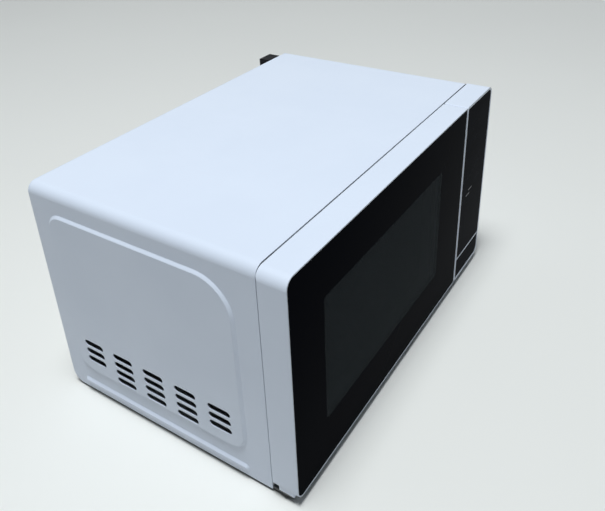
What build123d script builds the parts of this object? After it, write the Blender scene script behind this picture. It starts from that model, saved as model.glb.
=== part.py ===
"""Compact countertop microwave oven with a side-hinged door and a turntable.

Millimetres. +X to the right seen from the front, +Y to the back, +Z up.
The origin is on the table under the middle of the whole oven.
"""

from build123d import *
import math
import os

# ---------------------------------------------------------------- driving sizes
width = 489.0
height = 275.0
door_depth = 31.0
seam = 1.6
casing_depth = 292.0
spacer_reach = 32.0
spacer_width = 26.0
spacer_height = 22.0
spacer_wall = 3.0
spacer_inset = 37.0
spacer_below_top = 6.0

casing_lift = 4.5
base_lift = 8.0
door_lift = 11.0
sheet = 1.0
plastic_wall = 2.5
corner_radius = 11.0
seam_radius = 2.0
small_radius = 0.8
rear_corner_radius = 14.0

panel_width = 88.5
door_gap = 1.0
door_rim = 1.2
panel_rim = 3.0
ledge = 2.4
glass_thickness = 3.4
glass_setback = 0.2

cavity_left_gap = 32.5
cavity_floor_height = 38.0
cavity_roof_gap = 27.0
cavity_rear_gap = 20.0
cavity_corner_radius = 8.0
choke_overlap = 17.0
choke_depth = 13.0
choke_channel = 23.0
shroud_margin = 6.0
shroud_wall = 2.0
screen_margin = 5.0
screen_thickness = 0.6
cover_thickness = 1.0
cover_margin = 6.0
cover_rim_depth = 5.0
cover_rim_wall = 1.5
film_thickness = 0.8
latch_room = 28.5
window_side_margin = 24.0
window_top_margin = 28.0
window_bottom_margin = 32.0

emboss_rise = 2.5
emboss_front_margin = 27.0
emboss_rear_margin = 22.0
emboss_bottom = 39.0
emboss_top_margin = 26.5
emboss_large_radius = 42.0
emboss_small_radius = 22.0
bead_height = 10.0
bead_centre_height = 16.0
relief_slope = 52.0

louvre_length = 28.5
louvre_width = 7.8
vent_length = 26.5
vent_width = 4.3
vent_pitch = 11.5
vent_rows = 4
vent_groups = 5
vent_group_pitch = 44.7
vent_lowest = 48.5
vent_first_from_front = 58.5
intake_rows = 9
exhaust_columns = 3
exhaust_rows = 6
exhaust_pitch = 71.5
exhaust_below_roof = 28.0
base_vent_rows = 5
base_vent_pitch = 44.0
base_vent_ahead_of_fan = 16.0

flange = 10.0
flange_corner_radius = 3.0
front_flange = 8.0
rear_screw_shares = (0.22, 0.55, 0.85)
screw_radius = 1.8
screw_length = 8.0
screw_head_radius = 3.6
screw_head_height = 2.2
screw_slot_width = 0.9
screw_slot_depth = 0.8

hinge_inset = 6.5
hinge_from_front = 17.0
hinge_pin_radius = 3.0
hinge_pin_length = 14.0
hinge_boss_radius = 6.3
hinge_plate = 3.0
hinge_boss_cap = 4.0
hinge_arm_width = 6.0
hinge_reach = 20.0
hinge_skin = 1.6
hinge_edge_bevel = 1.2
hinge_below_top = 9.0
hinge_screw_depth = 14.0
hinge_screw_pitch = 12.0
hinge_tab_height = 18.0
hinge_tab_width = 20.0
hinge_plate_length = 20.0
hinge_plate_margin = 4.0

hook_width = 14.0
hook_height = 6.0
hook_barb = 2.0
hook_reach = 21.0
hook_clearance = 1.5
hook_side_gap = 1.0
hook_barb_length = 5.0
hook_swing_room = 4.0
upper_hook_below_top = 63.0
lower_hook_height = 72.0
latch_bar_width = 8.0
latch_bar_depth = 8.0
latch_bar_gap = 1.0
latch_bar_overrun = 4.0
latch_travel = 2.4
latch_spring_length = 16.0
latch_spring_radius = 2.8
latch_spring_wire = 0.4
spring_turns = 5
guide_wall = 3.0
guide_height = 16.0
guide_spacing = 70.0
catch_gap = 0.6
latch_board_margin = 8.0
latch_board_from_bay = 5.0
latch_board_above_hook = 36.0

switch_thickness = 10.3
switch_depth = 15.9
switch_height = 27.8
switch_plunger_height = 8.0
plunger_radius = 1.2
plunger_stand = 1.4
plunger_length = 5.0

button_height = 31.0
button_depth = 6.0
button_edge = 0.6
button_divider = 1.9
button_spring_radius = 4.0
button_spring_wire = 0.5
spring_socket_radius = 5.2
spring_from_middle = 14.0
stem_width = 8.0
stem_height = 10.0
stem_nose_length = 5.0
stem_nose_height = 3.0
lever_arm = 28.0
lever_shaft_radius = 3.0
lever_drop_from_plate = 6.0
lever_thickness = 4.0
finger_half = 1.5
ear_wall = 3.0
ear_height = 12.0
board_thickness = 1.6
board_stand_off = 9.0
board_above_button = 26.0
board_below_top = 22.0
board_side_margin = 9.0
board_post_inset = 8.0
housing_post_inset = 10.0
housing_post_radius = 4.0
post_radius = 2.5
post_inset = 5.0
display_width = 52.0
display_height = 24.0
display_below_roof = 38.0
relay_width = 16.0
relay_height = 22.0
relay_depth = 14.0
relay_above_board_edge = 26.0
sounder_above_relay = 36.0
sounder_radius = 6.0
sounder_height = 8.0
wiring_margin = 16.0

tray_diameter = 245.0
tray_glass = 5.0
tray_depth = 14.0
tray_slope = 16.0
tray_edge = 3.0
roller_radius = 8.0
roller_thickness = 6.0
roller_track_radius = 88.0
roller_count = 3
roller_axle_radius = 1.8
roller_round = 1.0
dimple_count = 6
dimple_radius = 1.2
dimple_depth = 1.0
dimple_circle_radius = 5.0
ring_width = 9.0
ring_thickness = 5.0
ring_to_roller = 1.5
cap_to_roller = 0.5
cap_thickness = 2.0
cap_radius = 3.2
coupler_radius = 16.0
coupler_core_radius = 7.0
coupler_lobe_width = 7.0
drive_shaft_radius = 3.5
motor_radius = 25.0
motor_thickness = 17.0
motor_ear_reach = 32.0
motor_ear_width = 12.0
motor_shaft_depth = 7.5
motor_hatch_radius = 31.0
motor_hatch_lap = 4.0

waveguide_depth = 30.0
waveguide_length = 96.0
waveguide_height = 76.0
port_length = 70.0
port_height = 44.0
mica_lap = 6.0
mica_thickness = 0.6
waveguide_from_front = 137.0
waveguide_below_roof = 12.0
yoke_width = 55.0
yoke_length = 84.0
yoke_height = 70.0
yoke_wall = 1.5
anode_radius = 19.0
fin_radius = 30.0
fin_thickness = 1.0
fin_count = 6
fin_pitch = 6.0
antenna_radius = 8.0
antenna_length = 22.0
filter_box_width = 26.0
filter_box_size = 50.0
terminal_depth = 8.0

core_length = 84.0
core_width = 62.0
core_height = 72.0
core_yoke = 16.0
core_window = 16.0
core_foot = 8.0
winding_reach = 11.0
winding_split = 2.0
winding_round = 6.0
transformer_from_front = 112.0
capacitor_length = 84.0
capacitor_height = 50.0
capacitor_thickness = 32.0
capacitor_round = 12.0
capacitor_tab_pitch = 18.0
terminal_length = 12.0
terminal_width = 6.0
capacitor_from_transformer = 26.0
strap_thickness = 1.2
strap_width = 20.0
strap_inset = 25.0
strap_foot = 10.0
diode_radius = 3.2
diode_inset = 2.0

fan_from_rear = 62.0
fan_radius = 48.0
fan_opening_clearance = 3.0
fan_hub_radius = 11.0
fan_hub_length = 16.0
fan_blade_count = 5
fan_blade_thickness = 1.6
fan_centre_height = 176.0
fan_core_width = 58.0
fan_core_height = 46.0
fan_core_thickness = 18.0
fan_shaft_radius = 1.6
fan_coil_stand = 5.5
fan_blade_width = 26.0
fan_blade_pitch = 28.0
fan_blade_round = 8.0
fan_blade_root = 3.0
fan_shaft_overrun = 2.0
fan_coil_thickness = 5.0
fan_core_limb = 8.0
fan_core_window = 6.0
fan_core_yoke = 9.0
fan_core_round = 4.0
shroud_thickness = 2.0
shroud_above_fan = 14.0
shroud_foot = 12.0
bridge_stand = 14.0
bridge_thickness = 3.0
bridge_height = 14.0
bridge_leg = 5.0
bridge_post_radius = 3.0
bridge_posts = (-8.0, 22.0)

gland_bore_radius = 3.8
gland_radius = 8.0
gland_flange_radius = 11.0
gland_height = 44.0
gland_inset = 36.0
gland_flange = 3.0

lamp_from_plate = 54.0
lamp_below_roof = 46.0
lamp_hole_count = 6
hole_pitch = 5.5
hole_radius = 1.6
steam_hole_columns = 8
steam_hole_rows = 4
steam_hole_margin = 30.0
lamp_radius = 10.0
lamp_neck_radius = 6.0
lamp_gap = 3.0
lamp_hood_depth = 34.0
lamp_hood_size = 40.0
lamp_hood_wall = 1.5
lamp_socket_radius = 8.0
lamp_socket_length = 10.0
cutout_radius = 8.0
cutout_height = 7.0
cutout_flange = 12.0
cutout_flange_width = 10.0
cutout_from_wall = 60.0
board_stand = 6.0
filter_board_length = 80.0
filter_board_width = 42.0
filter_from_cavity = 36.0
filter_from_transformer = 22.0
filter_choke_radius = 13.0
filter_choke_height = 12.0
filter_part_length = 26.0
filter_can_width = 14.0
filter_can_height = 16.0
fuse_radius = 3.0

foot_radius = 10.0
foot_inset_x = 42.0
foot_inset_front = 24.0
foot_inset_rear = 34.0
foot_peg_radius = 3.4
foot_bevel = 1.2
foot_barb_height = 4.0

sheet_gap = 0.2
running_gap = 0.3
pin_gap = 0.05
joint_gap = 0.1
hole_clearance = 2.0
weld = 0.5

# ---------------------------------------------------------------- derived places
depth = door_depth + seam + casing_depth + spacer_reach
y_front = -depth / 2
y_door_back = y_front + door_depth
y_casing_front = y_door_back + seam
y_casing_back = y_casing_front + casing_depth
y_plate_back = y_casing_front + sheet
x_left = -width / 2
x_right = width / 2
casing_half = width / 2 - emboss_rise
inner_half = casing_half - sheet - sheet_gap
inner_top = height - sheet - sheet_gap
inner_radius = corner_radius - sheet - sheet_gap
base_top = base_lift + sheet

x_panel_left = x_right - panel_width
x_door_right = x_panel_left - door_gap
x_choke_right = x_door_right - plastic_wall - latch_room
x_cavity_left = x_left + cavity_left_gap
x_cavity_right = x_choke_right - choke_overlap
x_cavity = (x_cavity_left + x_cavity_right) / 2
x_bay = x_cavity_right + sheet
z_floor = cavity_floor_height
z_roof = height - cavity_roof_gap
y_cavity_back = y_casing_back - cavity_rear_gap
y_turntable = (y_plate_back + y_cavity_back) / 2

x_window_left = x_cavity_left + window_side_margin
x_window_right = x_cavity_right - window_side_margin
z_window_low = z_floor + window_bottom_margin
z_window_high = z_roof - window_top_margin

y_glass_front = y_front + glass_setback
y_glass_back = y_glass_front + glass_thickness
y_ledge_back = y_glass_back + ledge
y_choke_front = y_door_back - choke_depth

x_hinge = x_left + hinge_inset
y_hinge = y_front + hinge_from_front
z_upper_arm = height - hinge_below_top

x_hook = x_choke_right + 2.0 + hook_width / 2
y_hook_tip = y_door_back + hook_reach
x_latch = (x_hook - latch_bar_width / 2, x_hook + latch_bar_width / 2)
x_latch_guide = (x_latch[0] - guide_wall, x_latch[1] + guide_wall)
y_latch_back = y_choke_front - latch_bar_gap
y_latch = y_latch_back - latch_bar_depth
upper_hook_height = height - upper_hook_below_top
z_latch_top = upper_hook_height + hook_height + latch_bar_overrun
y_switch = y_hook_tip + running_gap + plunger_stand
x_switch_far = x_hook + switch_thickness / 2 + joint_gap
x_switch_near = x_hook - switch_thickness / 2 - joint_gap

x_panel = (x_panel_left + x_right) / 2
z_button_low = door_lift + panel_rim
z_button_high = z_button_low + button_height
z_divider = z_button_high + button_divider
z_stem = (z_button_low + z_button_high) / 2
x_button_spring = x_panel + spring_from_middle
y_lever = y_plate_back + lever_drop_from_plate
z_lever = z_stem + lever_arm
x_stem = x_panel_left + plastic_wall + stem_width
y_nose = y_lever - lever_thickness / 2 - running_gap
y_board = y_ledge_back + board_stand_off
y_board_back = y_board + board_thickness
x_board_low = x_panel_left + board_side_margin
x_board_high = x_right - board_side_margin
z_board_low = z_button_high + board_above_button
z_board_high = height - board_below_top
z_display = z_roof - display_below_roof
z_relay_low = z_board_low + relay_above_board_edge
z_sounder = z_relay_low + sounder_above_relay

z_roller = z_floor + running_gap + roller_radius
z_tray = z_roller + roller_radius + running_gap
z_filter_board = base_top + board_stand + board_thickness
y_fan = y_casing_back - fan_from_rear
x_fan = (x_bay + casing_half - sheet) / 2
y_shroud_back = y_fan + shroud_thickness
y_bridge = y_shroud_back + bridge_stand
y_bridge_back = y_bridge + bridge_thickness
y_fan_motor = y_bridge_back + fan_coil_stand
x_transformer = x_fan
y_transformer = y_front + transformer_from_front
y_core_back = y_transformer + core_width
z_core_window_low = base_top + core_yoke
z_core_window_high = base_top + core_height - core_yoke
x_capacitor = x_bay + front_flange
y_capacitor = y_core_back + capacitor_from_transformer
z_capacitor = base_top + strap_thickness
z_strap = z_capacitor + capacitor_height + sheet_gap + strap_thickness
y_waveguide = y_front + waveguide_from_front
x_yoke = x_bay + waveguide_depth
waveguide_base = z_roof - waveguide_below_roof - waveguide_height
y_yoke = y_waveguide + waveguide_length / 2
z_yoke = waveguide_base + waveguide_height / 2
x_yoke_far = x_yoke + yoke_width
x_gland = x_right - gland_inset
x_spacer_left = x_right - spacer_inset
z_spacer_top = height - spacer_below_top
z_spacer_foot = height - flange - spacer_wall
x_hinge_arm = x_hinge + hinge_reach
x_hinge_screws = (x_hinge_arm - hinge_screw_pitch, x_hinge_arm)
y_hinge_screws = y_casing_front + hinge_screw_depth
x_hinge_notch = x_hinge_arm + hinge_arm_width
z_motor_shaft = z_floor - sheet - motor_shaft_depth


# ---------------------------------------------------------------- small helpers
def block(x_low, x_high, y_low, y_high, z_low, z_high):
    """Box between two opposite corners."""
    centre = Pos((x_low + x_high) / 2, (y_low + y_high) / 2, (z_low + z_high) / 2)
    return centre * Box(x_high - x_low, y_high - y_low, z_high - z_low)


def rod_x(radius, x_low, x_high, y, z):
    """Round bar along X."""
    return Pos((x_low + x_high) / 2, y, z) * Rot(0, 90, 0) * Cylinder(radius, x_high - x_low)


def rod_y(radius, x, y_low, y_high, z):
    """Round bar along Y."""
    return Pos(x, (y_low + y_high) / 2, z) * Rot(90, 0, 0) * Cylinder(radius, y_high - y_low)


def rod_z(radius, x, y, z_low, z_high):
    """Round bar along Z."""
    return Pos(x, y, (z_low + z_high) / 2) * Cylinder(radius, z_high - z_low)


def upright(outline, y_low, y_high):
    """Plate with a front-view outline (x, z), from y_low to y_high."""
    plane = Plane(origin=(0, y_high, 0), x_dir=(1, 0, 0), z_dir=(0, -1, 0))
    return extrude(plane * outline, amount=y_high - y_low)


def side_relief(outline, x_start, rise, taper=0.0):
    """Solid with a side-view outline (y, z) that rises from x_start towards +X."""
    plane = Plane(origin=(x_start, 0, 0), x_dir=(0, 1, 0), z_dir=(1, 0, 0))
    return extrude(plane * outline, amount=rise, taper=taper)


def arch(half_width, z_low, z_high, radius):
    """Upright outline with its two upper corners rounded."""
    blank = Pos(0, (z_low + z_high) / 2) * Rectangle(2 * half_width, z_high - z_low)
    return fillet(blank.vertices().sort_by(Axis.Y)[-2:], radius)


def panel_outline(x_low, x_high, z_low, z_high, left_radius, right_radius):
    """Front-view rectangle with its own radius at the left and the right corners."""
    blank = Pos((x_low + x_high) / 2, (z_low + z_high) / 2) * Rectangle(x_high - x_low, z_high - z_low)
    rounded = fillet(blank.vertices().sort_by(Axis.X)[:2], left_radius)
    return fillet(rounded.vertices().sort_by(Axis.X)[-2:], right_radius)


def frame_ring(x_low, x_high, z_low, z_high, wall, y_low, y_high):
    """Rectangular ring, wall thick all round."""
    outer = block(x_low, x_high, y_low, y_high, z_low, z_high)
    return outer - block(x_low + wall, x_high - wall, y_low, y_high, z_low + wall, z_high - wall)


def screw(x, y, z, direction):
    """Pan-head screw whose head sits on the point (x, y, z) and whose shank points in direction."""
    head = Pos(0, 0, -screw_head_height / 2) * Cylinder(screw_head_radius, screw_head_height)
    rounded = fillet(head.edges().sort_by(Axis.Z)[:1], screw_head_height * 0.4)
    arm = Box(1.2 * screw_head_radius, screw_slot_width, 2 * screw_slot_depth)
    slot = Pos(0, 0, -screw_head_height) * (arm + Rot(0, 0, 90) * arm)
    shank = Pos(0, 0, screw_length / 2) * Cylinder(screw_radius, screw_length)
    return Plane(origin=(x, y, z), z_dir=direction) * (rounded - slot + shank)


def coil_spring(radius, wire_radius, length, turns):
    """Coil spring along +Z from the origin."""
    path = Helix(pitch=length / turns, height=length, radius=radius)
    start = Plane(origin=path @ 0, z_dir=path % 0)
    return sweep(start * Circle(wire_radius), path=path)


# ---------------------------------------------------------------- casing
def vent_places():
    """Centres (y, z) of the side slots: the outer groups have one row less."""
    places = []
    for group in range(vent_groups):
        y = y_casing_front + vent_first_from_front + group * vent_group_pitch
        first_row = 1 if group in (0, vent_groups - 1) else 0
        for row in range(first_row, vent_rows):
            places.append((y, vent_lowest + row * vent_pitch))
    return places


def emboss_outline(inset):
    """Pressed side panel, with a larger radius at its upper front corner."""
    y_low = y_casing_front + emboss_front_margin + inset
    y_high = y_casing_back - emboss_rear_margin - inset
    z_low = emboss_bottom + inset
    z_high = height - emboss_top_margin - inset
    blank = Pos((y_low + y_high) / 2, (z_low + z_high) / 2) * Rectangle(y_high - y_low, z_high - z_low)
    corners = blank.vertices().sort_by(lambda corner: corner.X - corner.Y)
    rounded = fillet(corners[:1], emboss_large_radius - inset)
    others = [v for v in rounded.vertices() if v.Y < z_low + 0.1 or v.X > y_high - 0.1]
    return fillet(ShapeList(others), emboss_small_radius - inset)


def bead_outline(inset):
    """Long low bead under the pressed panel."""
    y_low = y_casing_front + emboss_front_margin + inset
    y_high = y_casing_back - emboss_rear_margin - inset
    centre = Pos((y_low + y_high) / 2, bead_centre_height)
    return centre * SlotOverall(y_high - y_low, bead_height - 2 * inset)


def rear_screw_places():
    """Points (x, z) of the screws that hold the rear panel to the casing's rear flange."""
    side = casing_half - sheet - flange / 2
    top = height - sheet - flange / 2
    sides = [(sign * side, height * share) for sign in (-1, 1) for share in rear_screw_shares]
    return sides + [(sign * width / 4, top) for sign in (-1, 1)]


def make_outer_casing():
    """Sheet-steel wrap: pressed side panels, vent slots and a rear flange."""
    wrap = upright(arch(casing_half, casing_lift, height, corner_radius), y_casing_front, y_casing_back)
    hollow = arch(casing_half - sheet, casing_lift - sheet, height - sheet, corner_radius - sheet)
    wrap -= upright(hollow, y_casing_front, y_casing_back)
    rim = arch(casing_half - sheet, casing_lift, height - sheet, corner_radius - sheet)
    flange_half = casing_half - sheet - flange
    rim -= Pos(0, -sheet) * arch(flange_half, casing_lift, height - flange, flange_corner_radius)
    wrap += upright(rim, y_casing_back - sheet, y_casing_back)
    for relief in (emboss_outline, bead_outline):
        raised = side_relief(relief(0), casing_half, emboss_rise, taper=relief_slope)
        pocket = side_relief(relief(sheet / 2), casing_half - sheet, emboss_rise, taper=relief_slope)
        wrap += raised + mirror(raised, about=Plane.YZ)
        wrap -= pocket + mirror(pocket, about=Plane.YZ)
    slots = Sketch() + [Pos(y, z) * SlotOverall(louvre_length, louvre_width) for y, z in vent_places()]
    cutter = side_relief(slots, casing_half - 2 * sheet, emboss_rise + 3 * sheet)
    wrap -= cutter + mirror(cutter, about=Plane.YZ)
    for x, z in rear_screw_places():
        wrap -= rod_y(screw_radius + joint_gap, x, y_casing_back - 2 * sheet, y_casing_back + sheet, z)
    middle = Pos(y_casing_back - rear_corner_radius / 2, casing_lift + rear_corner_radius / 2)
    corner = middle * Rectangle(rear_corner_radius, rear_corner_radius)
    centre = Pos(y_casing_back - rear_corner_radius, casing_lift + rear_corner_radius)
    corner -= centre * Circle(rear_corner_radius)
    return wrap - side_relief(corner, -width, 2 * width)


def make_rear_panel():
    """Rear sheet with a folded lip, the fan's intake slots and the exhaust slots."""
    y_back = y_casing_back - sheet
    outline = arch(inner_half, base_top + sheet_gap, inner_top, inner_radius)
    panel = upright(outline, y_back - sheet, y_back)
    lip = outline - arch(inner_half - sheet, base_top - sheet, inner_top - sheet, inner_radius - sheet)
    panel += upright(lip, y_back - flange, y_back)
    slots = Sketch()
    for row in range(intake_rows):
        rise = (row - (intake_rows - 1) / 2) * vent_pitch
        half = math.sqrt(max(fan_radius**2 - rise**2, vent_length**2 / 2))
        slots += Pos(x_fan, fan_centre_height + rise) * SlotOverall(2 * half, vent_width)
    for column in range(exhaust_columns):
        for row in range(exhaust_rows):
            x = x_cavity + (column - (exhaust_columns - 1) / 2) * exhaust_pitch
            z = z_roof - exhaust_below_roof - row * vent_pitch
            slots += Pos(x, z) * SlotOverall(2 * vent_length, vent_width)
    cut_y = (y_back - 2 * sheet, y_back + sheet)
    panel -= upright(slots, *cut_y)
    for x, z in rear_screw_places():
        panel -= rod_y(screw_radius + joint_gap, x, *cut_y, z)
    return panel - rod_y(gland_radius + joint_gap, x_gland, *cut_y, gland_height)


def foot_places():
    """Points (x, y) of the feet."""
    ys = (y_casing_front + foot_inset_front, y_casing_back - foot_inset_rear)
    return [(sign * (width / 2 - foot_inset_x), y) for sign in (-1, 1) for y in ys]


def make_base_plate():
    """Flat base with holes for the feet, the hinge screws, the motor and the cooling air."""
    plate = block(-inner_half, inner_half, y_casing_front, y_casing_back - sheet, base_lift, base_top)
    for row in range(base_vent_rows):
        for sign in (-1, 1):
            x = x_transformer + sign * base_vent_pitch / 2
            y = y_fan - base_vent_ahead_of_fan - row * vent_pitch
            slot = extrude(SlotOverall(vent_length, vent_width), 2 * sheet, both=True)
            plate -= Pos(x, y, base_lift) * slot
    for x, y in foot_places():
        plate -= rod_z(foot_peg_radius + joint_gap, x, y, base_lift - sheet, base_top + sheet)
    plate -= rod_z(motor_hatch_radius, x_cavity, y_turntable, base_lift - sheet, base_top + sheet)
    for x in x_hinge_screws:
        plate -= rod_z(screw_radius + joint_gap, x, y_hinge_screws, base_lift - sheet, base_top + sheet)
    return plate


def make_motor_cover():
    """Plate that closes the hole under the turntable motor."""
    cover = rod_z(motor_hatch_radius - sheet_gap, x_cavity, y_turntable, base_lift, base_top)
    rim = rod_z(motor_hatch_radius + motor_hatch_lap, x_cavity, y_turntable, base_top, base_top + sheet)
    return cover + rim


def make_feet():
    """Rubber feet, each with a barbed peg through the base plate."""
    feet = Part()
    for x, y in foot_places():
        pad = Pos(x, y, base_lift / 2) * Cylinder(foot_radius, base_lift)
        pad = chamfer(pad.edges().sort_by(Axis.Z)[:1], foot_bevel)
        peg = rod_z(foot_peg_radius, x, y, base_lift, base_top + foot_barb_height)
        barb_middle = base_top + joint_gap + foot_barb_height / 2
        barb = Cone(foot_peg_radius + foot_bevel, foot_peg_radius, foot_barb_height)
        feet += pad + peg + Pos(x, y, barb_middle) * barb
    return feet


def make_rear_spacer():
    """Hollow stand-off on the rear panel, whose head reaches up behind the casing's flange."""
    y_base = y_casing_back - sheet
    y_head = y_casing_back + sheet_gap
    y_end = y_casing_back + spacer_reach
    wall = spacer_wall
    x_high = x_spacer_left + spacer_width
    z_low = z_spacer_top - spacer_height
    body = block(x_spacer_left, x_high, y_head, y_end, z_low, z_spacer_top)
    body = fillet(body.edges().group_by(Axis.Y)[-1], wall)
    core_x = (x_spacer_left + wall, x_high - wall)
    core = block(*core_x, y_head + wall, y_end - wall, z_low - wall, z_spacer_top - wall)
    foot_x = (x_spacer_left - 2 * wall, x_high - wall)
    foot = block(*foot_x, y_base, y_head + wall, z_low - 3 * wall, z_spacer_foot)
    return body - core + foot


def make_screws():
    """Screws of the casing's rear flange and of the lower hinge."""
    screws = Part()
    for x, z in rear_screw_places():
        screws += screw(x, y_casing_back, z, (0, -1, 0))
    for x in x_hinge_screws:
        screws += screw(x, y_hinge_screws, base_lift - hinge_plate, (0, 0, 1))
    return screws


def make_cord_gland():
    """Flanged sleeve that lines the lead's hole in the rear panel."""
    y_back = y_casing_back - sheet
    y_inside = y_back - sheet
    gland = rod_y(gland_flange_radius, x_gland, y_back, y_back + gland_flange, gland_height)
    gland += rod_y(gland_radius, x_gland, y_inside, y_back, gland_height)
    gland += rod_y(gland_flange_radius - 1, x_gland, y_inside - gland_flange, y_inside, gland_height)
    bore = (y_inside - 2 * gland_flange, y_back + 2 * gland_flange)
    return gland - rod_y(gland_bore_radius, x_gland, *bore, gland_height)


# ---------------------------------------------------------------- front plate and cavity
def cavity_outline(offset_out, radius):
    """Front-view outline of the cavity's mouth."""
    return panel_outline(
        x_cavity_left - offset_out,
        x_cavity_right + offset_out,
        z_floor - offset_out,
        z_roof + offset_out,
        radius,
        radius,
    )


def hook_slots(y_low, y_high):
    """Openings for the two latch hooks, with room for the latch's lift and the door's swing."""
    openings = Part()
    for z in (lower_hook_height, upper_hook_height):
        low = z - hook_barb - hook_clearance
        high = z + hook_height + latch_travel + hook_clearance
        x_low = x_hook - hook_width / 2 - hook_side_gap
        openings += block(x_low, x_low + hook_width + hook_swing_room, y_low, y_high, low, high)
    return openings


def make_front_plate():
    """Plate round the cavity mouth, with openings for hooks, wiring, button stem and hinge arm."""
    outline = arch(inner_half, base_top, inner_top, inner_radius)
    plate = upright(outline, y_casing_front, y_plate_back)
    lip = outline - arch(inner_half - sheet, base_top - sheet, inner_top - sheet, inner_radius - sheet)
    plate += upright(lip, y_casing_front, y_casing_front + front_flange)
    plate -= upright(cavity_outline(0, cavity_corner_radius), y_casing_front, y_plate_back)
    plate -= hook_slots(y_casing_front - sheet, y_plate_back + sheet)
    wiring_x = (x_panel_left + wiring_margin, x_right - wiring_margin)
    plate -= block(*wiring_x, y_casing_front, y_plate_back, z_board_low, z_roof - wiring_margin)
    stem_half = stem_width / 2 + hook_clearance
    stem_z = (z_stem - stem_width, z_stem + stem_width)
    plate -= block(x_stem - stem_half, x_stem + stem_half, y_casing_front, y_plate_back, *stem_z)
    x_arm = x_hinge + hinge_reach
    arm_low = z_upper_arm - joint_gap
    arm_high = z_upper_arm + hinge_plate + joint_gap
    half = hinge_arm_width / 2 + joint_gap
    return plate - block(x_arm - half, x_arm + half, y_casing_front, y_plate_back, arm_low, arm_high)


def hole_grid(columns, rows, y_first, z_first, y_step, z_step):
    """Points (y, z) of a grid of small holes."""
    return [(y_first + i * y_step, z_first + j * z_step) for i in range(columns) for j in range(rows)]


def lamp_hole_places():
    """Holes between the lamp and the cavity."""
    first = (y_plate_back + lamp_from_plate, z_roof - lamp_below_roof)
    return hole_grid(lamp_hole_count, lamp_hole_count, *first, hole_pitch, hole_pitch)


def steam_hole_places():
    """Holes that let steam out at the left."""
    first = (y_cavity_back - steam_hole_margin, z_roof - steam_hole_margin)
    return hole_grid(steam_hole_columns, steam_hole_rows, *first, -hole_pitch, -hole_pitch)


def make_cavity():
    """Enamelled sheet box, open at the front, with the port, lamp, steam and shaft holes."""
    outer = cavity_outline(sheet, cavity_corner_radius + sheet)
    shell = upright(outer, y_plate_back, y_cavity_back + sheet)
    shell -= upright(cavity_outline(0, cavity_corner_radius), y_plate_back, y_cavity_back)
    shaft_hole = drive_shaft_radius + hole_clearance
    shell -= rod_z(shaft_hole, x_cavity, y_turntable, z_floor - 2 * sheet, z_floor + sheet)
    port_y = (y_yoke - port_length / 2, y_yoke + port_length / 2)
    port_z = (z_yoke - port_height / 2, z_yoke + port_height / 2)
    shell -= block(x_cavity_right - sheet, x_bay + sheet, *port_y, *port_z)
    lamp_holes = Sketch() + [Pos(y, z) * Circle(hole_radius) for y, z in lamp_hole_places()]
    shell -= side_relief(lamp_holes, x_cavity_right - sheet, 3 * sheet)
    steam_holes = Sketch() + [Pos(y, z) * Circle(hole_radius) for y, z in steam_hole_places()]
    return shell - side_relief(steam_holes, x_cavity_left - 2 * sheet, 3 * sheet)


def make_waveguide_cover():
    """Mica sheet over the port, flat on the cavity's right wall."""
    y_half = port_length / 2 + mica_lap
    z_half = port_height / 2 + mica_lap
    sheet_x = (x_cavity_right - mica_thickness, x_cavity_right)
    return block(*sheet_x, y_yoke - y_half, y_yoke + y_half, z_yoke - z_half, z_yoke + z_half)


# ---------------------------------------------------------------- microwave source
def make_waveguide():
    """Short duct on the cavity's right wall, open towards the port."""
    y_high = y_waveguide + waveguide_length
    z_high = waveguide_base + waveguide_height
    duct = block(x_bay, x_yoke, y_waveguide, y_high, waveguide_base, z_high)
    inner_z = (waveguide_base + sheet, z_high - sheet)
    duct -= block(x_bay, x_yoke - sheet, y_waveguide + sheet, y_high - sheet, *inner_z)
    duct -= rod_x(antenna_radius + hole_clearance, x_yoke - 2 * sheet, x_yoke + sheet, y_yoke, z_yoke)
    flanges = block(x_bay, x_bay + sheet, y_waveguide - front_flange, y_waveguide, waveguide_base, z_high)
    flanges += block(x_bay, x_bay + sheet, y_high, y_high + front_flange, waveguide_base, z_high)
    return duct + flanges


def make_magnetron_yoke():
    """Folded steel frame of the magnetron, open at its front and back for the cooling air."""
    y_low = y_yoke - yoke_length / 2
    y_high = y_yoke + yoke_length / 2
    z_low = z_yoke - yoke_height / 2
    z_high = z_yoke + yoke_height / 2
    wall = yoke_wall
    frame = block(x_yoke, x_yoke_far, y_low, y_high, z_low, z_high)
    frame -= block(x_yoke + wall, x_yoke_far - wall, y_low, y_high, z_low + wall, z_high - wall)
    return frame - rod_x(anode_radius / 2, x_yoke - wall, x_yoke_far + wall, y_yoke, z_yoke)


def make_magnetron_anode():
    """Copper anode block with its cooling fins."""
    anode = rod_x(anode_radius, x_yoke + yoke_wall, x_yoke_far - yoke_wall, y_yoke, z_yoke)
    middle = (x_yoke + x_yoke_far) / 2
    for index in range(fin_count):
        x = middle + (index - (fin_count - 1) / 2) * fin_pitch
        anode += rod_x(fin_radius, x - fin_thickness / 2, x + fin_thickness / 2, y_yoke, z_yoke)
    return anode


def make_magnetron_antenna():
    """Antenna that reaches from the anode into the waveguide."""
    root = x_yoke + yoke_wall
    stalk = rod_x(antenna_radius, root - antenna_length, root, y_yoke, z_yoke)
    return fillet(stalk.edges().sort_by(Axis.X)[:1], antenna_radius * 0.4)


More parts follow.
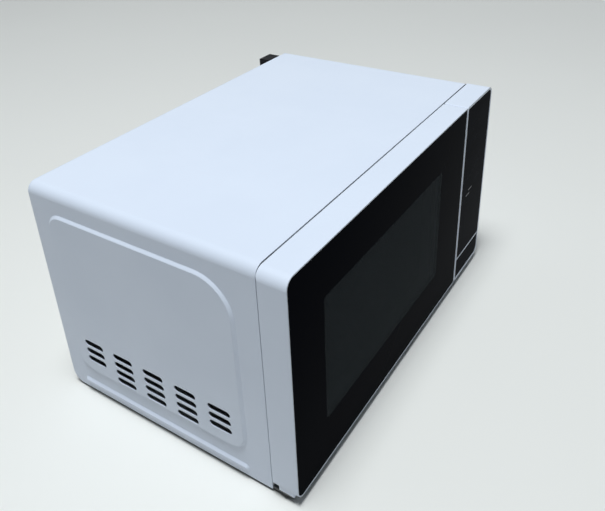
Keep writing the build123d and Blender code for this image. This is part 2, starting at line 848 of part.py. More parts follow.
def make_magnetron_filter_box():
    """Closed box with the filter coils, and the terminal block on its front."""
    half = filter_box_size / 2
    x_far = x_yoke_far + filter_box_width
    y_low = y_yoke - half
    z_low = z_yoke - half
    box = block(x_yoke_far, x_far, y_low, y_yoke + half, z_low, z_yoke + half)
    hollow = (x_yoke_far + sheet, x_far - sheet, y_low + sheet, y_yoke + half - sheet)
    box -= block(*hollow, z_low + sheet, z_yoke + half - sheet)
    terminal_x = (x_yoke_far + filter_box_width / 4, x_far - filter_box_width / 4)
    return box + block(*terminal_x, y_low - terminal_depth, y_low, z_yoke - half / 2, z_yoke + half / 2)


def make_transformer_core():
    """Laminated core with two windows and a foot along each side."""
    x_core = (x_transformer - core_length / 2, x_transformer + core_length / 2)
    core = block(*x_core, y_transformer, y_core_back, base_top, base_top + core_height)
    for sign in (-1, 1):
        middle = x_transformer + sign * core_length / 4
        window_x = (middle - core_window / 2, middle + core_window / 2)
        core -= block(*window_x, y_transformer, y_core_back, z_core_window_low, z_core_window_high)
    foot_y = (y_transformer - core_foot, y_core_back + core_foot)
    return core + block(*x_core, *foot_y, base_top, base_top + 2 * sheet)


def make_transformer_windings():
    """Primary below and secondary above, both around the middle limb."""
    limb = core_length / 4 - core_window / 2 + joint_gap
    coil_half = core_length / 4 + core_window / 2 - sheet_gap
    coil_x = (x_transformer - coil_half, x_transformer + coil_half)
    coil_y = (y_transformer - winding_reach, y_core_back + winding_reach)
    limb_x = (x_transformer - limb, x_transformer + limb)
    limb_y = (y_transformer - joint_gap, y_core_back + joint_gap)
    middle = (z_core_window_low + z_core_window_high) / 2
    lower = (z_core_window_low + sheet_gap, middle - winding_split / 2)
    upper = (middle + winding_split / 2, z_core_window_high - sheet_gap)
    windings = Part()
    for z_span in (lower, upper):
        coil = block(*coil_x, *coil_y, *z_span)
        coil = fillet(coil.edges().filter_by(Axis.Z), winding_round)
        windings += coil - block(*limb_x, *limb_y, *z_span)
    return windings


def make_hv_capacitor():
    """Oval can on its side, with two flat terminals at its right end."""
    x_end = x_capacitor + capacitor_length
    y_far = y_capacitor + capacitor_thickness
    can = block(x_capacitor, x_end, y_capacitor, y_far, z_capacitor, z_capacitor + capacitor_height)
    can = fillet(can.edges().filter_by(Axis.X), capacitor_round)
    tab_x = (x_end, x_end + terminal_length)
    y_tab = (y_capacitor + y_far) / 2
    tab_y = (y_tab - terminal_width / 2, y_tab + terminal_width / 2)
    for sign in (-1, 1):
        z_tab = z_capacitor + capacitor_height / 2 + sign * capacitor_tab_pitch / 2
        can += block(*tab_x, *tab_y, z_tab - sheet / 2, z_tab + sheet / 2)
    return can


def make_capacitor_clamp():
    """Steel strap over the capacitor, with a foot on the base plate."""
    x_strap = (x_capacitor + strap_inset, x_capacitor + strap_inset + strap_width)
    y_inside = (y_capacitor - sheet_gap, y_capacitor + capacitor_thickness + sheet_gap)
    y_outside = (y_inside[0] - strap_thickness, y_inside[1] + strap_thickness)
    outer = block(*x_strap, *y_outside, base_top, z_strap)
    hole = block(*x_strap, *y_inside, z_capacitor, z_strap - strap_thickness)
    return outer - hole + block(*x_strap, y_outside[0] - strap_foot, y_outside[0], base_top, z_capacitor)


def make_hv_diode():
    """Moulded diode that lies on the capacitor's strap."""
    x_low = x_capacitor + strap_inset + diode_inset
    x_high = x_capacitor + strap_inset + strap_width - diode_inset
    middle = y_capacitor + capacitor_thickness / 2
    body = rod_x(diode_radius, x_low, x_high, middle, z_strap + diode_radius)
    half = diode_radius - sheet_gap
    return body + block(x_low, x_high, middle - half, middle + half, z_strap, z_strap + diode_radius)


# ---------------------------------------------------------------- cooling
def make_fan_shroud():
    """Upright board with the fan's round opening and a bridge that carries the motor."""
    x_board = (x_bay + running_gap, casing_half - sheet - emboss_rise - running_gap)
    z_top = fan_centre_height + fan_radius + shroud_above_fan
    board = block(*x_board, y_fan, y_shroud_back, base_top, z_top)
    board += block(*x_board, y_fan - shroud_foot, y_fan, base_top, base_top + shroud_thickness)
    reach = fan_radius + fan_opening_clearance
    board -= rod_y(reach, x_fan, y_fan - sheet, y_shroud_back + sheet, fan_centre_height)
    leg_middle = reach + sheet + bridge_leg / 2
    bridge_z = (fan_centre_height - bridge_height / 2, fan_centre_height + bridge_height / 2)
    half = leg_middle + bridge_leg / 2
    bridge = block(x_fan - half, x_fan + half, y_bridge, y_bridge_back, *bridge_z)
    for sign in (-1, 1):
        x = x_fan + sign * leg_middle
        bridge += block(x - bridge_leg / 2, x + bridge_leg / 2, y_shroud_back, y_bridge_back, *bridge_z)
    for offset in bridge_posts:
        bridge += rod_y(bridge_post_radius, x_fan + offset, y_bridge_back, y_fan_motor, fan_centre_height)
    bore_y = (y_bridge - sheet, y_bridge_back + sheet)
    bore = rod_y(fan_shaft_radius + hole_clearance, x_fan, *bore_y, fan_centre_height)
    return board + bridge - bore


def fan_core_limits():
    """Fan motor core's limits (x low, x high, z low, z high)."""
    half = fan_core_width / 2
    low = fan_centre_height - fan_core_height / 2
    return x_fan - half, x_fan + half, low, low + fan_core_height


def make_fan_motor_core():
    """Laminated core with a window for the coil and a bore for the shaft."""
    x_low, x_high, z_low, z_high = fan_core_limits()
    y_far = y_fan_motor + fan_core_thickness
    core = block(x_low, x_high, y_fan_motor, y_far, z_low, z_high)
    core = fillet(core.edges().filter_by(Axis.Y), fan_core_round)
    window_x = (x_low + fan_core_limb, x_low + fan_core_limb + fan_core_window)
    core -= block(*window_x, y_fan_motor, y_far, z_low + fan_core_yoke, z_high - fan_core_yoke)
    bore = fan_shaft_radius + pin_gap
    return core - rod_y(bore, x_fan, y_fan_motor - sheet, y_far + sheet, fan_centre_height)


def make_fan_motor_coil():
    """Coil around the outer limb of the motor core."""
    x_low, x_high, z_low, z_high = fan_core_limits()
    y_far = y_fan_motor + fan_core_thickness
    wall = fan_coil_thickness
    coil_z = (z_low + fan_core_yoke + sheet_gap, z_high - fan_core_yoke - sheet_gap)
    x_inner = x_low + fan_core_limb
    coil = block(x_low - wall, x_inner + wall, y_fan_motor - wall, y_far + wall, *coil_z)
    coil = fillet(coil.edges().filter_by(Axis.Z), wall * 0.6)
    limb_x = (x_low - joint_gap, x_inner + joint_gap)
    return coil - block(*limb_x, y_fan_motor - joint_gap, y_far + joint_gap, *coil_z)


def make_fan_blade():
    """Hub with pitched blades and the steel shaft that it is pressed on."""
    y_middle = y_fan + shroud_thickness / 2
    y_low = y_middle - fan_hub_length / 2
    fan = rod_y(fan_hub_radius, x_fan, y_low, y_low + fan_hub_length, fan_centre_height)
    root = fan_hub_radius - fan_blade_root
    length = fan_radius - root
    vane = Box(length, fan_blade_thickness, fan_blade_width)
    vane = fillet(vane.edges().filter_by(Axis.Y).group_by(Axis.X)[-1], fan_blade_round)
    vane = Pos(root + length / 2, 0, 0) * Rot(fan_blade_pitch, 0, 0) * vane
    for index in range(fan_blade_count):
        turn = Rot(0, index * 360 / fan_blade_count, 0)
        fan += Pos(x_fan, y_middle, fan_centre_height) * turn * vane
    shaft_end = y_fan_motor + fan_core_thickness + fan_shaft_overrun
    return fan + rod_y(fan_shaft_radius, x_fan, y_low, shaft_end, fan_centre_height)


# ---------------------------------------------------------------- lamp, sensors and filter
def lamp_centre():
    """Middle (y, z) of the lamp behind its holes."""
    half = (lamp_hole_count - 1) * hole_pitch / 2
    return y_plate_back + lamp_from_plate + half, z_roof - lamp_below_roof + half


def make_lamp_holder():
    """Open hood on the cavity's right wall, with the lamp's socket at its far end."""
    y, z = lamp_centre()
    half = lamp_hood_size / 2
    inner = half - lamp_hood_wall
    x_far = x_bay + lamp_hood_depth
    hood = block(x_bay, x_far, y - half, y + half, z - half, z + half)
    hood -= block(x_bay, x_far - lamp_hood_wall, y - inner, y + inner, z - inner, z + inner)
    flange_plate = block(x_bay, x_bay + sheet, y - half - front_flange, y - half, z - half, z + half)
    return hood + flange_plate + rod_x(lamp_socket_radius, x_far, x_far + lamp_socket_length, y, z)


def make_oven_lamp():
    """Round bulb with its neck against the back of the hood."""
    y, z = lamp_centre()
    x_bulb = x_bay + lamp_radius + lamp_gap
    x_neck = x_bay + lamp_hood_depth - lamp_hood_wall
    neck = Pos((x_bulb + x_neck) / 2, 0) * Rectangle(x_neck - x_bulb, 2 * lamp_neck_radius)
    outline = Pos(x_bulb, 0) * Circle(lamp_radius) + neck
    upper_half = Pos(x_bulb, lamp_radius) * Rectangle(4 * lamp_hood_depth, 2 * lamp_radius)
    return Pos(0, y, z) * revolve(outline & upper_half, Axis.X)


def make_thermal_cutouts():
    """One round thermostat on the magnetron and one on the cavity roof."""
    x_middle = (x_yoke + x_yoke_far) / 2
    on_magnetron = (x_middle, y_yoke, z_yoke + yoke_height / 2)
    on_roof = (x_cavity_right - cutout_from_wall, y_turntable, z_roof + sheet)
    cutouts = Part()
    for x, y, z in (on_magnetron, on_roof):
        can = rod_z(cutout_radius, x, y, z, z + cutout_height)
        half = cutout_flange_width / 2
        cutouts += can + block(x - cutout_flange, x + cutout_flange, y - half, y + half, z, z + sheet)
    return cutouts


def filter_board_limits():
    """Filter board's limits (x low, x high, y low, y high) in front of the transformer."""
    y_high = y_transformer - filter_from_transformer
    x_low = x_bay + filter_from_cavity
    return x_low, x_low + filter_board_length, y_high - filter_board_width, y_high


def make_filter_board():
    """Circuit board on four posts."""
    x_low, x_high, y_low, y_high = filter_board_limits()
    board = block(x_low, x_high, y_low, y_high, base_top + board_stand, z_filter_board)
    for x in (x_low + post_inset, x_high - post_inset):
        for y in (y_low + post_inset, y_high - post_inset):
            board += rod_z(post_radius, x, y, base_top, base_top + board_stand)
    return board


def make_filter_parts():
    """Choke coil, capacitor and fuse that stand on the filter board."""
    x_low, x_high, y_low, y_high = filter_board_limits()
    middle = (y_low + y_high) / 2
    part_y = (middle - filter_part_length / 2, middle + filter_part_length / 2)
    x_choke = x_low + post_inset + filter_choke_radius
    choke_z = (z_filter_board, z_filter_board + filter_choke_height)
    choke = rod_z(filter_choke_radius, x_choke, middle, *choke_z)
    choke -= rod_z(filter_choke_radius / 2, x_choke, middle, *choke_z)
    x_can = (x_low + x_high) / 2
    can_z = (z_filter_board, z_filter_board + filter_can_height)
    can = block(x_can, x_can + filter_can_width, *part_y, *can_z)
    fuse = rod_y(fuse_radius, x_high - 2 * post_inset, *part_y, z_filter_board + fuse_radius)
    return choke + can + fuse


# ---------------------------------------------------------------- turntable
def make_turntable_motor():
    """Flat round gear motor with two ears, under the cavity floor."""
    top = z_floor - sheet
    motor = rod_z(motor_radius, x_cavity, y_turntable, top - motor_thickness, top)
    motor = fillet(motor.edges().filter_by(GeomType.CIRCLE).sort_by(Axis.Z)[:1], 2 * sheet)
    ear_y = (y_turntable - motor_ear_width / 2, y_turntable + motor_ear_width / 2)
    motor += block(x_cavity - motor_ear_reach, x_cavity + motor_ear_reach, *ear_y, top - sheet, top)
    bore = drive_shaft_radius + pin_gap
    return motor - rod_z(bore, x_cavity, y_turntable, z_motor_shaft - running_gap, top + sheet)


def make_drive_coupler():
    """Three-lobed coupler on the motor's shaft, which turns the glass tray."""
    low = z_floor + running_gap
    top = z_tray - running_gap
    shaft = rod_z(drive_shaft_radius, x_cavity, y_turntable, z_motor_shaft, low)
    hub = rod_z(coupler_core_radius, x_cavity, y_turntable, low, top)
    lobe = Pos(coupler_radius / 2, 0, 0) * Box(coupler_radius, coupler_lobe_width, top - low)
    lobe = fillet(lobe.edges().filter_by(Axis.Z), coupler_lobe_width * 0.4)
    for angle in roller_angles():
        hub += Pos(x_cavity, y_turntable, (low + top) / 2) * Rot(0, 0, angle) * lobe
    return shaft + hub


def make_glass_tray():
    """Round glass tray with a flat middle and a sloping rim."""
    radius = tray_diameter / 2
    profile = Polyline(
        (0, 0),
        (radius - tray_slope, 0),
        (radius, tray_depth - tray_edge / 2),
        (radius, tray_depth),
        (radius - tray_edge, tray_depth),
        (radius - tray_slope - tray_edge / 2, tray_glass),
        (0, tray_glass),
        close=True,
    )
    tray = revolve(make_face(Plane.XZ * profile), Axis.Z)
    return Pos(x_cavity, y_turntable, z_tray) * tray


def roller_angles():
    """Directions of the rollers round the ring, and of the coupler's lobes."""
    return [90 + index * 360 / roller_count for index in range(roller_count)]


def make_roller_ring():
    """Plastic ring with an axle and an end cap for each roller."""
    roller_far = roller_track_radius + roller_thickness / 2
    r_out = roller_track_radius - roller_thickness / 2 - ring_to_roller
    ring = Cylinder(r_out, ring_thickness) - Cylinder(r_out - ring_width, ring_thickness)
    cap_start = roller_far + cap_to_roller
    axle = rod_x(roller_axle_radius, r_out - ring_width / 3, cap_start + cap_thickness, 0, 0)
    cap = rod_x(cap_radius, cap_start, cap_start + cap_thickness, 0, 0)
    for angle in roller_angles():
        ring += Rot(0, 0, angle) * (axle + cap)
    return Pos(x_cavity, y_turntable, z_roller) * ring


def make_roller(angle):
    """One wheel of the roller ring, with a circle of dimples on its outer face."""
    low = roller_track_radius - roller_thickness / 2
    high = low + roller_thickness
    wheel = rod_x(roller_radius, low, high, 0, 0)
    wheel = fillet(wheel.edges().filter_by(GeomType.CIRCLE), roller_round)
    wheel -= rod_x(roller_axle_radius + pin_gap, low - sheet, high + sheet, 0, 0)
    for step in range(dimple_count):
        place = Rot(step * 360 / dimple_count, 0, 0)
        wheel -= place * rod_x(dimple_radius, high - dimple_depth, high + sheet, 0, dimple_circle_radius)
    return Pos(x_cavity, y_turntable, z_roller) * Rot(0, 0, angle) * wheel


# ---------------------------------------------------------------- hinges
def make_hinge_lower():
    """Plate under the base, with the pin that the door stands and turns on."""
    low = base_lift - hinge_plate
    half = hinge_arm_width / 2
    y_far = y_hinge_screws + hinge_plate_length / 2
    arm_x = (x_hinge - half, x_hinge + hinge_boss_radius)
    arm = block(*arm_x, y_hinge - hinge_boss_radius, y_far, low, base_lift)
    plate_x = (x_hinge - half, x_hinge_arm + hinge_plate_margin)
    arm += block(*plate_x, y_hinge_screws - hinge_plate_length / 2, y_far, low, base_lift)
    arm += rod_z(hinge_boss_radius - sheet, x_hinge, y_hinge, base_lift, door_lift - running_gap)
    arm += rod_z(hinge_pin_radius, x_hinge, y_hinge, base_lift, door_lift + hinge_pin_length)
    for x in x_hinge_screws:
        arm -= rod_z(screw_radius + joint_gap, x, y_hinge_screws, low - sheet, base_lift + sheet)
    return arm


def make_hinge_upper():
    """Cranked arm through the front plate, with a pin that points down into the door."""
    low = z_upper_arm
    high = low + hinge_plate
    half = hinge_arm_width / 2
    y_far = y_plate_back + 2 * sheet
    arm = rod_z(half + sheet, x_hinge, y_hinge, low, high)
    arm += block(x_hinge, x_hinge_arm + half, y_hinge - half, y_hinge + half, low, high)
    arm += block(x_hinge_arm - half, x_hinge_arm + half, y_hinge, y_far, low, high)
    tab_x = (x_hinge_arm - hinge_tab_width / 2, x_hinge_arm + hinge_tab_width / 2)
    arm += block(*tab_x, y_plate_back, y_far, low - hinge_tab_height, low + sheet)
    return arm + rod_z(hinge_pin_radius, x_hinge, y_hinge, low - hinge_pin_length, low)


# ---------------------------------------------------------------- door
def door_outline(inset):
    """Front-view outline of the door, drawn in by inset."""
    outer = max(corner_radius - inset, small_radius)
    inner = max(seam_radius - inset, small_radius)
    limits = (x_left + inset, x_door_right - inset, door_lift + inset, height - inset)
    return panel_outline(*limits, outer, inner)


def hinge_edge_wedge():
    """Wedge to cut off the door's rear left edge, which clears the casing as the door swings."""
    x_cut = x_left + hinge_edge_bevel
    y_cut = y_door_back - hinge_edge_bevel
    far = (x_cut + sheet, y_door_back + sheet)
    near = (x_left - sheet, y_cut - sheet)
    outline = make_face(Polyline(far, near, (x_left - sheet, y_door_back + sheet), close=True))
    return extrude(outline, amount=height + sheet)


def make_door_frame():
    """Moulded frame: rim and ledge for the glass, sight shroud, hinge bosses and latch guides."""
    frame = upright(door_outline(0), y_front, y_door_back)
    frame -= upright(door_outline(door_rim), y_front, y_glass_back)
    frame -= upright(door_outline(plastic_wall), y_ledge_back, y_door_back)
    shroud = grown_cavity(shroud_margin)
    sight = grown_cavity(shroud_margin - shroud_wall)
    frame -= block(*sight[:2], y_front, y_door_back, *sight[2:])
    frame += frame_ring(*shroud, shroud_wall, y_ledge_back - weld, y_choke_front)
    boss_x = (x_left + sheet, x_hinge + hinge_boss_radius)
    boss_y = (y_ledge_back - weld, y_hinge + hinge_boss_radius)
    boss_top = z_upper_arm - running_gap
    boss_depth = hinge_pin_length + hinge_boss_cap
    frame += block(*boss_x, *boss_y, door_lift + weld, door_lift + boss_depth)
    frame += block(*boss_x, *boss_y, boss_top - boss_depth, boss_top)
    bore = hinge_pin_radius + pin_gap
    frame -= rod_z(bore, x_hinge, y_hinge, door_lift - sheet, door_lift + hinge_pin_length + sheet)
    frame -= rod_z(bore, x_hinge, y_hinge, boss_top - hinge_pin_length - sheet, boss_top + sheet)
    notch_x = (x_left + hinge_skin, x_hinge_notch)
    notch_z = (boss_top, z_upper_arm + hinge_plate + running_gap)
    frame -= block(*notch_x, y_hinge - hinge_arm_width, y_door_back, *notch_z)
    frame -= hinge_edge_wedge()
    return frame + make_latch_guides()


def make_latch_guides():
    """Ribs of the door frame that hold the latch bar from the front and from both sides."""
    middle = (lower_hook_height + upper_hook_height) / 2
    y_root = y_ledge_back - weld
    guides = Part()
    for z in (middle - guide_spacing / 2, middle + guide_spacing / 2):
        rib_z = (z - guide_height / 2, z + guide_height / 2)
        rib = block(*x_latch_guide, y_root, y_latch_back, *rib_z)
        slot_x = (x_latch[0] - running_gap, x_latch[1] + running_gap)
        guides += rib - block(*slot_x, y_latch - running_gap, y_latch_back, *rib_z)
    shelf_low = z_latch_top + latch_spring_length
    return guides + block(*x_latch_guide, y_root, y_latch_back, shelf_low, shelf_low + guide_wall)


def make_door_glass():
    """Glass that covers the whole front of the door inside its thin rim."""
    return upright(door_outline(door_rim + joint_gap), y_glass_front, y_glass_back)


def grown_cavity(margin):
    """Cavity mouth grown by margin on every side: x low, x high, z low, z high."""
    return x_cavity_left - margin, x_cavity_right + margin, z_floor - margin, z_roof + margin


def grown_window(margin):
    """Door window grown by margin on every side: x low, x high, z low, z high."""
    return x_window_left - margin, x_window_right + margin, z_window_low - margin, z_window_high + margin


def through_door(limits, y_low, y_high):
    """Block with front-view limits (x low, x high, z low, z high)."""
    return block(*limits[:2], y_low, y_high, *limits[2:])


def make_door_choke():
    """Folded steel tray: a channel all round and a flat middle with the window opening."""
    tray = through_door(grown_cavity(choke_overlap), y_choke_front, y_door_back)
    channel = through_door(grown_cavity(choke_overlap - sheet), y_choke_front + sheet, y_door_back)
    inner = choke_overlap - choke_channel
    tray -= channel - through_door(grown_cavity(inner), y_choke_front, y_door_back)
    tray -= through_door(grown_cavity(inner - sheet), y_choke_front, y_door_back - sheet)
    return tray - through_door(grown_window(0), y_choke_front, y_door_back)


def make_door_screen():
    """Perforated metal sheet in front of the choke's window opening."""
    back = y_door_back - sheet
    return through_door(grown_window(screen_margin), back - screen_thickness, back)


def window_outline(margin, radius):
    """Front-view outline of the window opening grown by margin."""
    return panel_outline(*grown_window(margin), radius, radius)


def make_door_inner_cover():
    """Plastic cover on the cavity side of the door, with slots for the hooks."""
    opening = window_outline(cover_margin, cover_margin * 0.65)
    sheet_outline = door_outline(plastic_wall + sheet_gap) - opening
    cover = upright(sheet_outline, y_door_back, y_door_back + cover_thickness)
    rim = grown_cavity(choke_overlap - 2 * sheet)
    cover += frame_ring(*rim, cover_rim_wall, y_door_back - cover_rim_depth, y_door_back)
    cut_y = (y_door_back - cover_rim_depth - sheet, y_door_back + 2 * cover_thickness)
    cover -= hook_slots(*cut_y)
    return cover - block(x_left - sheet, x_hinge_notch, *cut_y, z_upper_arm - running_gap - sheet, height)


def make_door_inner_film():
    """Clear sheet that lies on the choke inside the cover's opening."""
    outline = window_outline(cover_margin - sheet_gap, cover_margin * 0.65 - sheet_gap)
    return upright(outline, y_door_back, y_door_back + film_thickness)


def make_door_latch():
    """Bar with two hooks that reach through the front plate."""
    latch = block(*x_latch, y_latch, y_latch_back, lower_hook_height - latch_bar_overrun, z_latch_top)
    hook_x = (x_hook - hook_width / 2, x_hook + hook_width / 2)
    for z in (lower_hook_height, upper_hook_height):
        arm = block(*hook_x, y_latch, y_hook_tip, z, z + hook_height)
        barb = block(*hook_x, y_hook_tip - hook_barb_length, y_hook_tip, z - hook_barb, z)
        latch += arm + barb
    return latch


def make_latch_spring():
    """Coil between the latch bar's upper end and the door frame's shelf."""
    room = latch_spring_wire + running_gap
    coil = coil_spring(latch_spring_radius, latch_spring_wire, latch_spring_length - 2 * room, spring_turns)
    return Pos(x_hook, (y_latch + y_latch_back) / 2, z_latch_top + room) * coil


# ---------------------------------------------------------------- control side
def housing_outline(inset):
    """Front-view outline of the control housing, drawn in by inset."""
    inner = max(seam_radius - inset, small_radius)
    outer = max(corner_radius - inset, small_radius)
    limits = (x_panel_left + inset, x_right - inset, door_lift + inset, height - inset)
    return panel_outline(*limits, inner, outer)


def button_outline(gap):
    """Front-view outline of the button's opening, drawn in by gap."""
    low = z_button_low + gap
    high = z_button_high - gap
    band = Pos(x_panel, (low + high) / 2) * Rectangle(panel_width, high - low)
    return housing_outline(panel_rim + gap) & band


def board_post_places():
    """Points (x, z) of the posts that carry the control board."""
    xs = (x_board_low + board_post_inset, x_board_high - board_post_inset)
    zs = (z_board_low + board_post_inset, z_board_high - board_post_inset)
    return [(x, z) for x in xs for z in zs]


def make_control_housing():
    """Moulded housing: rim and ledge for the fascia, button opening and posts."""
    housing = upright(housing_outline(0), y_front, y_door_back)
    housing -= upright(housing_outline(plastic_wall), y_ledge_back, y_door_back)
    divider = block(x_panel_left, x_right, y_front, y_glass_back, z_button_high, z_divider)
    housing -= upright(housing_outline(panel_rim), y_front, y_glass_back) - divider
    housing -= upright(button_outline(0), y_front, y_door_back)
    display_z = (z_display - running_gap, z_display + display_height + running_gap)
    display_half = display_width / 2 + running_gap
    housing -= block(x_panel - display_half, x_panel + display_half, y_glass_back, y_ledge_back, *display_z)
    for x in (x_panel_left + housing_post_inset, x_right - housing_post_inset):
        for z in (z_divider + housing_post_inset, height - housing_post_inset):
            housing += rod_y(housing_post_radius, x, y_ledge_back - weld, y_casing_front, z)
    for x, z in board_post_places():
        housing += rod_y(post_radius, x, y_ledge_back - weld, y_board, z)
    return housing


def make_control_fascia():
    """Gloss insert above the button."""
    fascia = upright(housing_outline(panel_rim + joint_gap), y_glass_front, y_glass_back)
    below = (x_panel_left, x_right, y_front, y_ledge_back, 0, z_divider + joint_gap)
    return fascia - block(*below)


def make_control_board():
    """Circuit board on the housing's posts."""
    return block(x_board_low, x_board_high, y_board, y_board_back, z_board_low, z_board_high)


def make_display_module():
    """Number display that stands on the board behind the fascia."""
    display_x = (x_panel - display_width / 2, x_panel + display_width / 2)
    return block(*display_x, y_glass_back + running_gap, y_board, z_display, z_display + display_height)


def make_board_parts():
    """Relays, transformer and sounder on the back of the control board."""
    x_near = x_panel - relay_width
    x_far = x_panel + relay_width
    parts = rod_y(sounder_radius, x_far, y_board_back, y_board_back + sounder_height, z_sounder)
    for x, z in ((x_near, z_relay_low), (x_near, z_sounder), (x_far, z_relay_low)):
        relay_x = (x - relay_width / 2, x + relay_width / 2)
        relay_z = (z - relay_height / 2, z + relay_height / 2)
        parts += block(*relay_x, y_board_back, y_board_back + relay_depth, *relay_z)
    return parts


def make_open_button():
    """Wide push button under the fascia, with a stem to the release lever."""
    button_back = y_ledge_back + button_depth
    body = upright(button_outline(running_gap), y_glass_front, button_back)
    body = fillet(body.faces().sort_by(Axis.Y)[0].edges(), button_edge)
    stem_x = (x_stem - stem_width / 2, x_stem + stem_width / 2)
    stem_z = (z_stem - stem_height / 2, z_stem + stem_height / 2)
    stem = block(*stem_x, y_ledge_back, y_nose - stem_nose_length, *stem_z)
    nose_half = stem_nose_height / 2
    nose = block(*stem_x, button_back, y_nose, z_stem - nose_half, z_stem + nose_half)
    socket = rod_y(spring_socket_radius, x_button_spring, y_ledge_back + sheet, button_back + sheet, z_stem)
    return body + stem + nose - socket


def make_button_spring():
    """Coil between the button and the front plate."""
    room = button_spring_wire + running_gap
    y_low = y_ledge_back + sheet + room
    length = y_casing_front - room - y_low
    coil = coil_spring(button_spring_radius, button_spring_wire, length, spring_turns)
    return Pos(x_button_spring, y_low, z_stem) * Rot(-90, 0, 0) * coil


def make_release_lever():
    """Rocker shaft: its paddle meets the button's stem and its finger lies under the lower hook."""
    half = lever_thickness / 2
    x_low = x_hook - hook_width / 2 - sheet
    lever = rod_x(lever_shaft_radius, x_low, x_stem + stem_width / 2 + ear_wall, y_lever, z_lever)
    paddle_x = (x_stem - stem_width / 2, x_stem + stem_width / 2)
    lever += block(*paddle_x, y_lever - half, y_lever + half, z_stem - lever_thickness, z_lever)
    z_tip = lower_hook_height - hook_barb - running_gap
    finger = Polyline(
        (y_lever - half, z_lever + finger_half),
        (y_hook_tip - lever_thickness, z_tip),
        (y_hook_tip, z_tip),
        (y_hook_tip, z_tip - 2 * finger_half),
        (y_lever + half, z_lever - finger_half),
        close=True,
    )
    return lever + side_relief(make_face(finger), x_hook + sheet, hook_width / 2 - sheet)


def make_latch_board():
    """Plastic plate behind the front plate, with the switch wall, catches and lever ears."""
    y_back = y_plate_back + plastic_wall
    x_high = x_hook + hook_width / 2 + latch_board_margin
    z_high = upper_hook_height + latch_board_above_hook
    board_x = (x_bay + latch_board_from_bay, x_high)
    board = block(*board_x, y_plate_back, y_back, z_lever - latch_board_margin, z_high)
    board -= hook_slots(y_plate_back - sheet, y_back + sheet)
    x_wall = x_switch_near - switch_thickness / 2 - joint_gap
    wall_low = z_lever + ear_height
    board += block(x_wall - ear_wall, x_wall, y_plate_back, y_switch + switch_depth, wall_low, z_high)
    for z in (lower_hook_height, upper_hook_height):
        catch_top = z - hook_barb - catch_gap
        catch_y = (y_plate_back, y_hook_tip - hook_barb_length - sheet)
        board += block(x_wall - weld, x_hook, *catch_y, catch_top - ear_wall, catch_top)
    ear_z = (z_lever - ear_height / 2, z_lever + ear_height / 2)
    for x in (x_hook - hook_width / 2, x_high - ear_wall):
        board += block(x, x + ear_wall, y_plate_back, y_lever + lever_shaft_radius + ear_wall, *ear_z)
    hole = lever_shaft_radius + pin_gap
    return board - rod_x(hole, x_bay, x_high + sheet, y_lever, z_lever)


def switch_places():
    """Middle (x, z) of each door switch's plunger: one above, two side by side below."""
    low = lower_hook_height + hook_height / 2
    high = upper_hook_height + hook_height / 2
    return [(x_switch_far, high), (x_switch_far, low), (x_switch_near, low)]


def make_door_switches():
    """Three snap switches behind the hooks, each with a bore for its plunger and a terminal."""
    y_far = y_switch + switch_depth
    switches = Part()
    for x, z in switch_places():
        half = switch_thickness / 2
        z_low = z - switch_plunger_height
        body = block(x - half, x + half, y_switch, y_far, z_low, z_low + switch_height)
        bore = (y_switch - sheet, y_switch + plunger_length + sheet)
        body -= rod_y(plunger_radius + pin_gap, x, *bore, z)
        z_tab = z_low + switch_height / 2
        tab_x = (x - terminal_width / 2, x + terminal_width / 2)
        switches += body + block(*tab_x, y_far, y_far + terminal_width, z_tab, z_tab + sheet)
    return switches


def make_switch_plunger(place):
    """Small round plunger that stands out of its switch towards the hook."""
    x, z = place
    y_low = y_switch - plunger_stand
    return rod_y(plunger_radius, x, y_low, y_low + plunger_length, z)


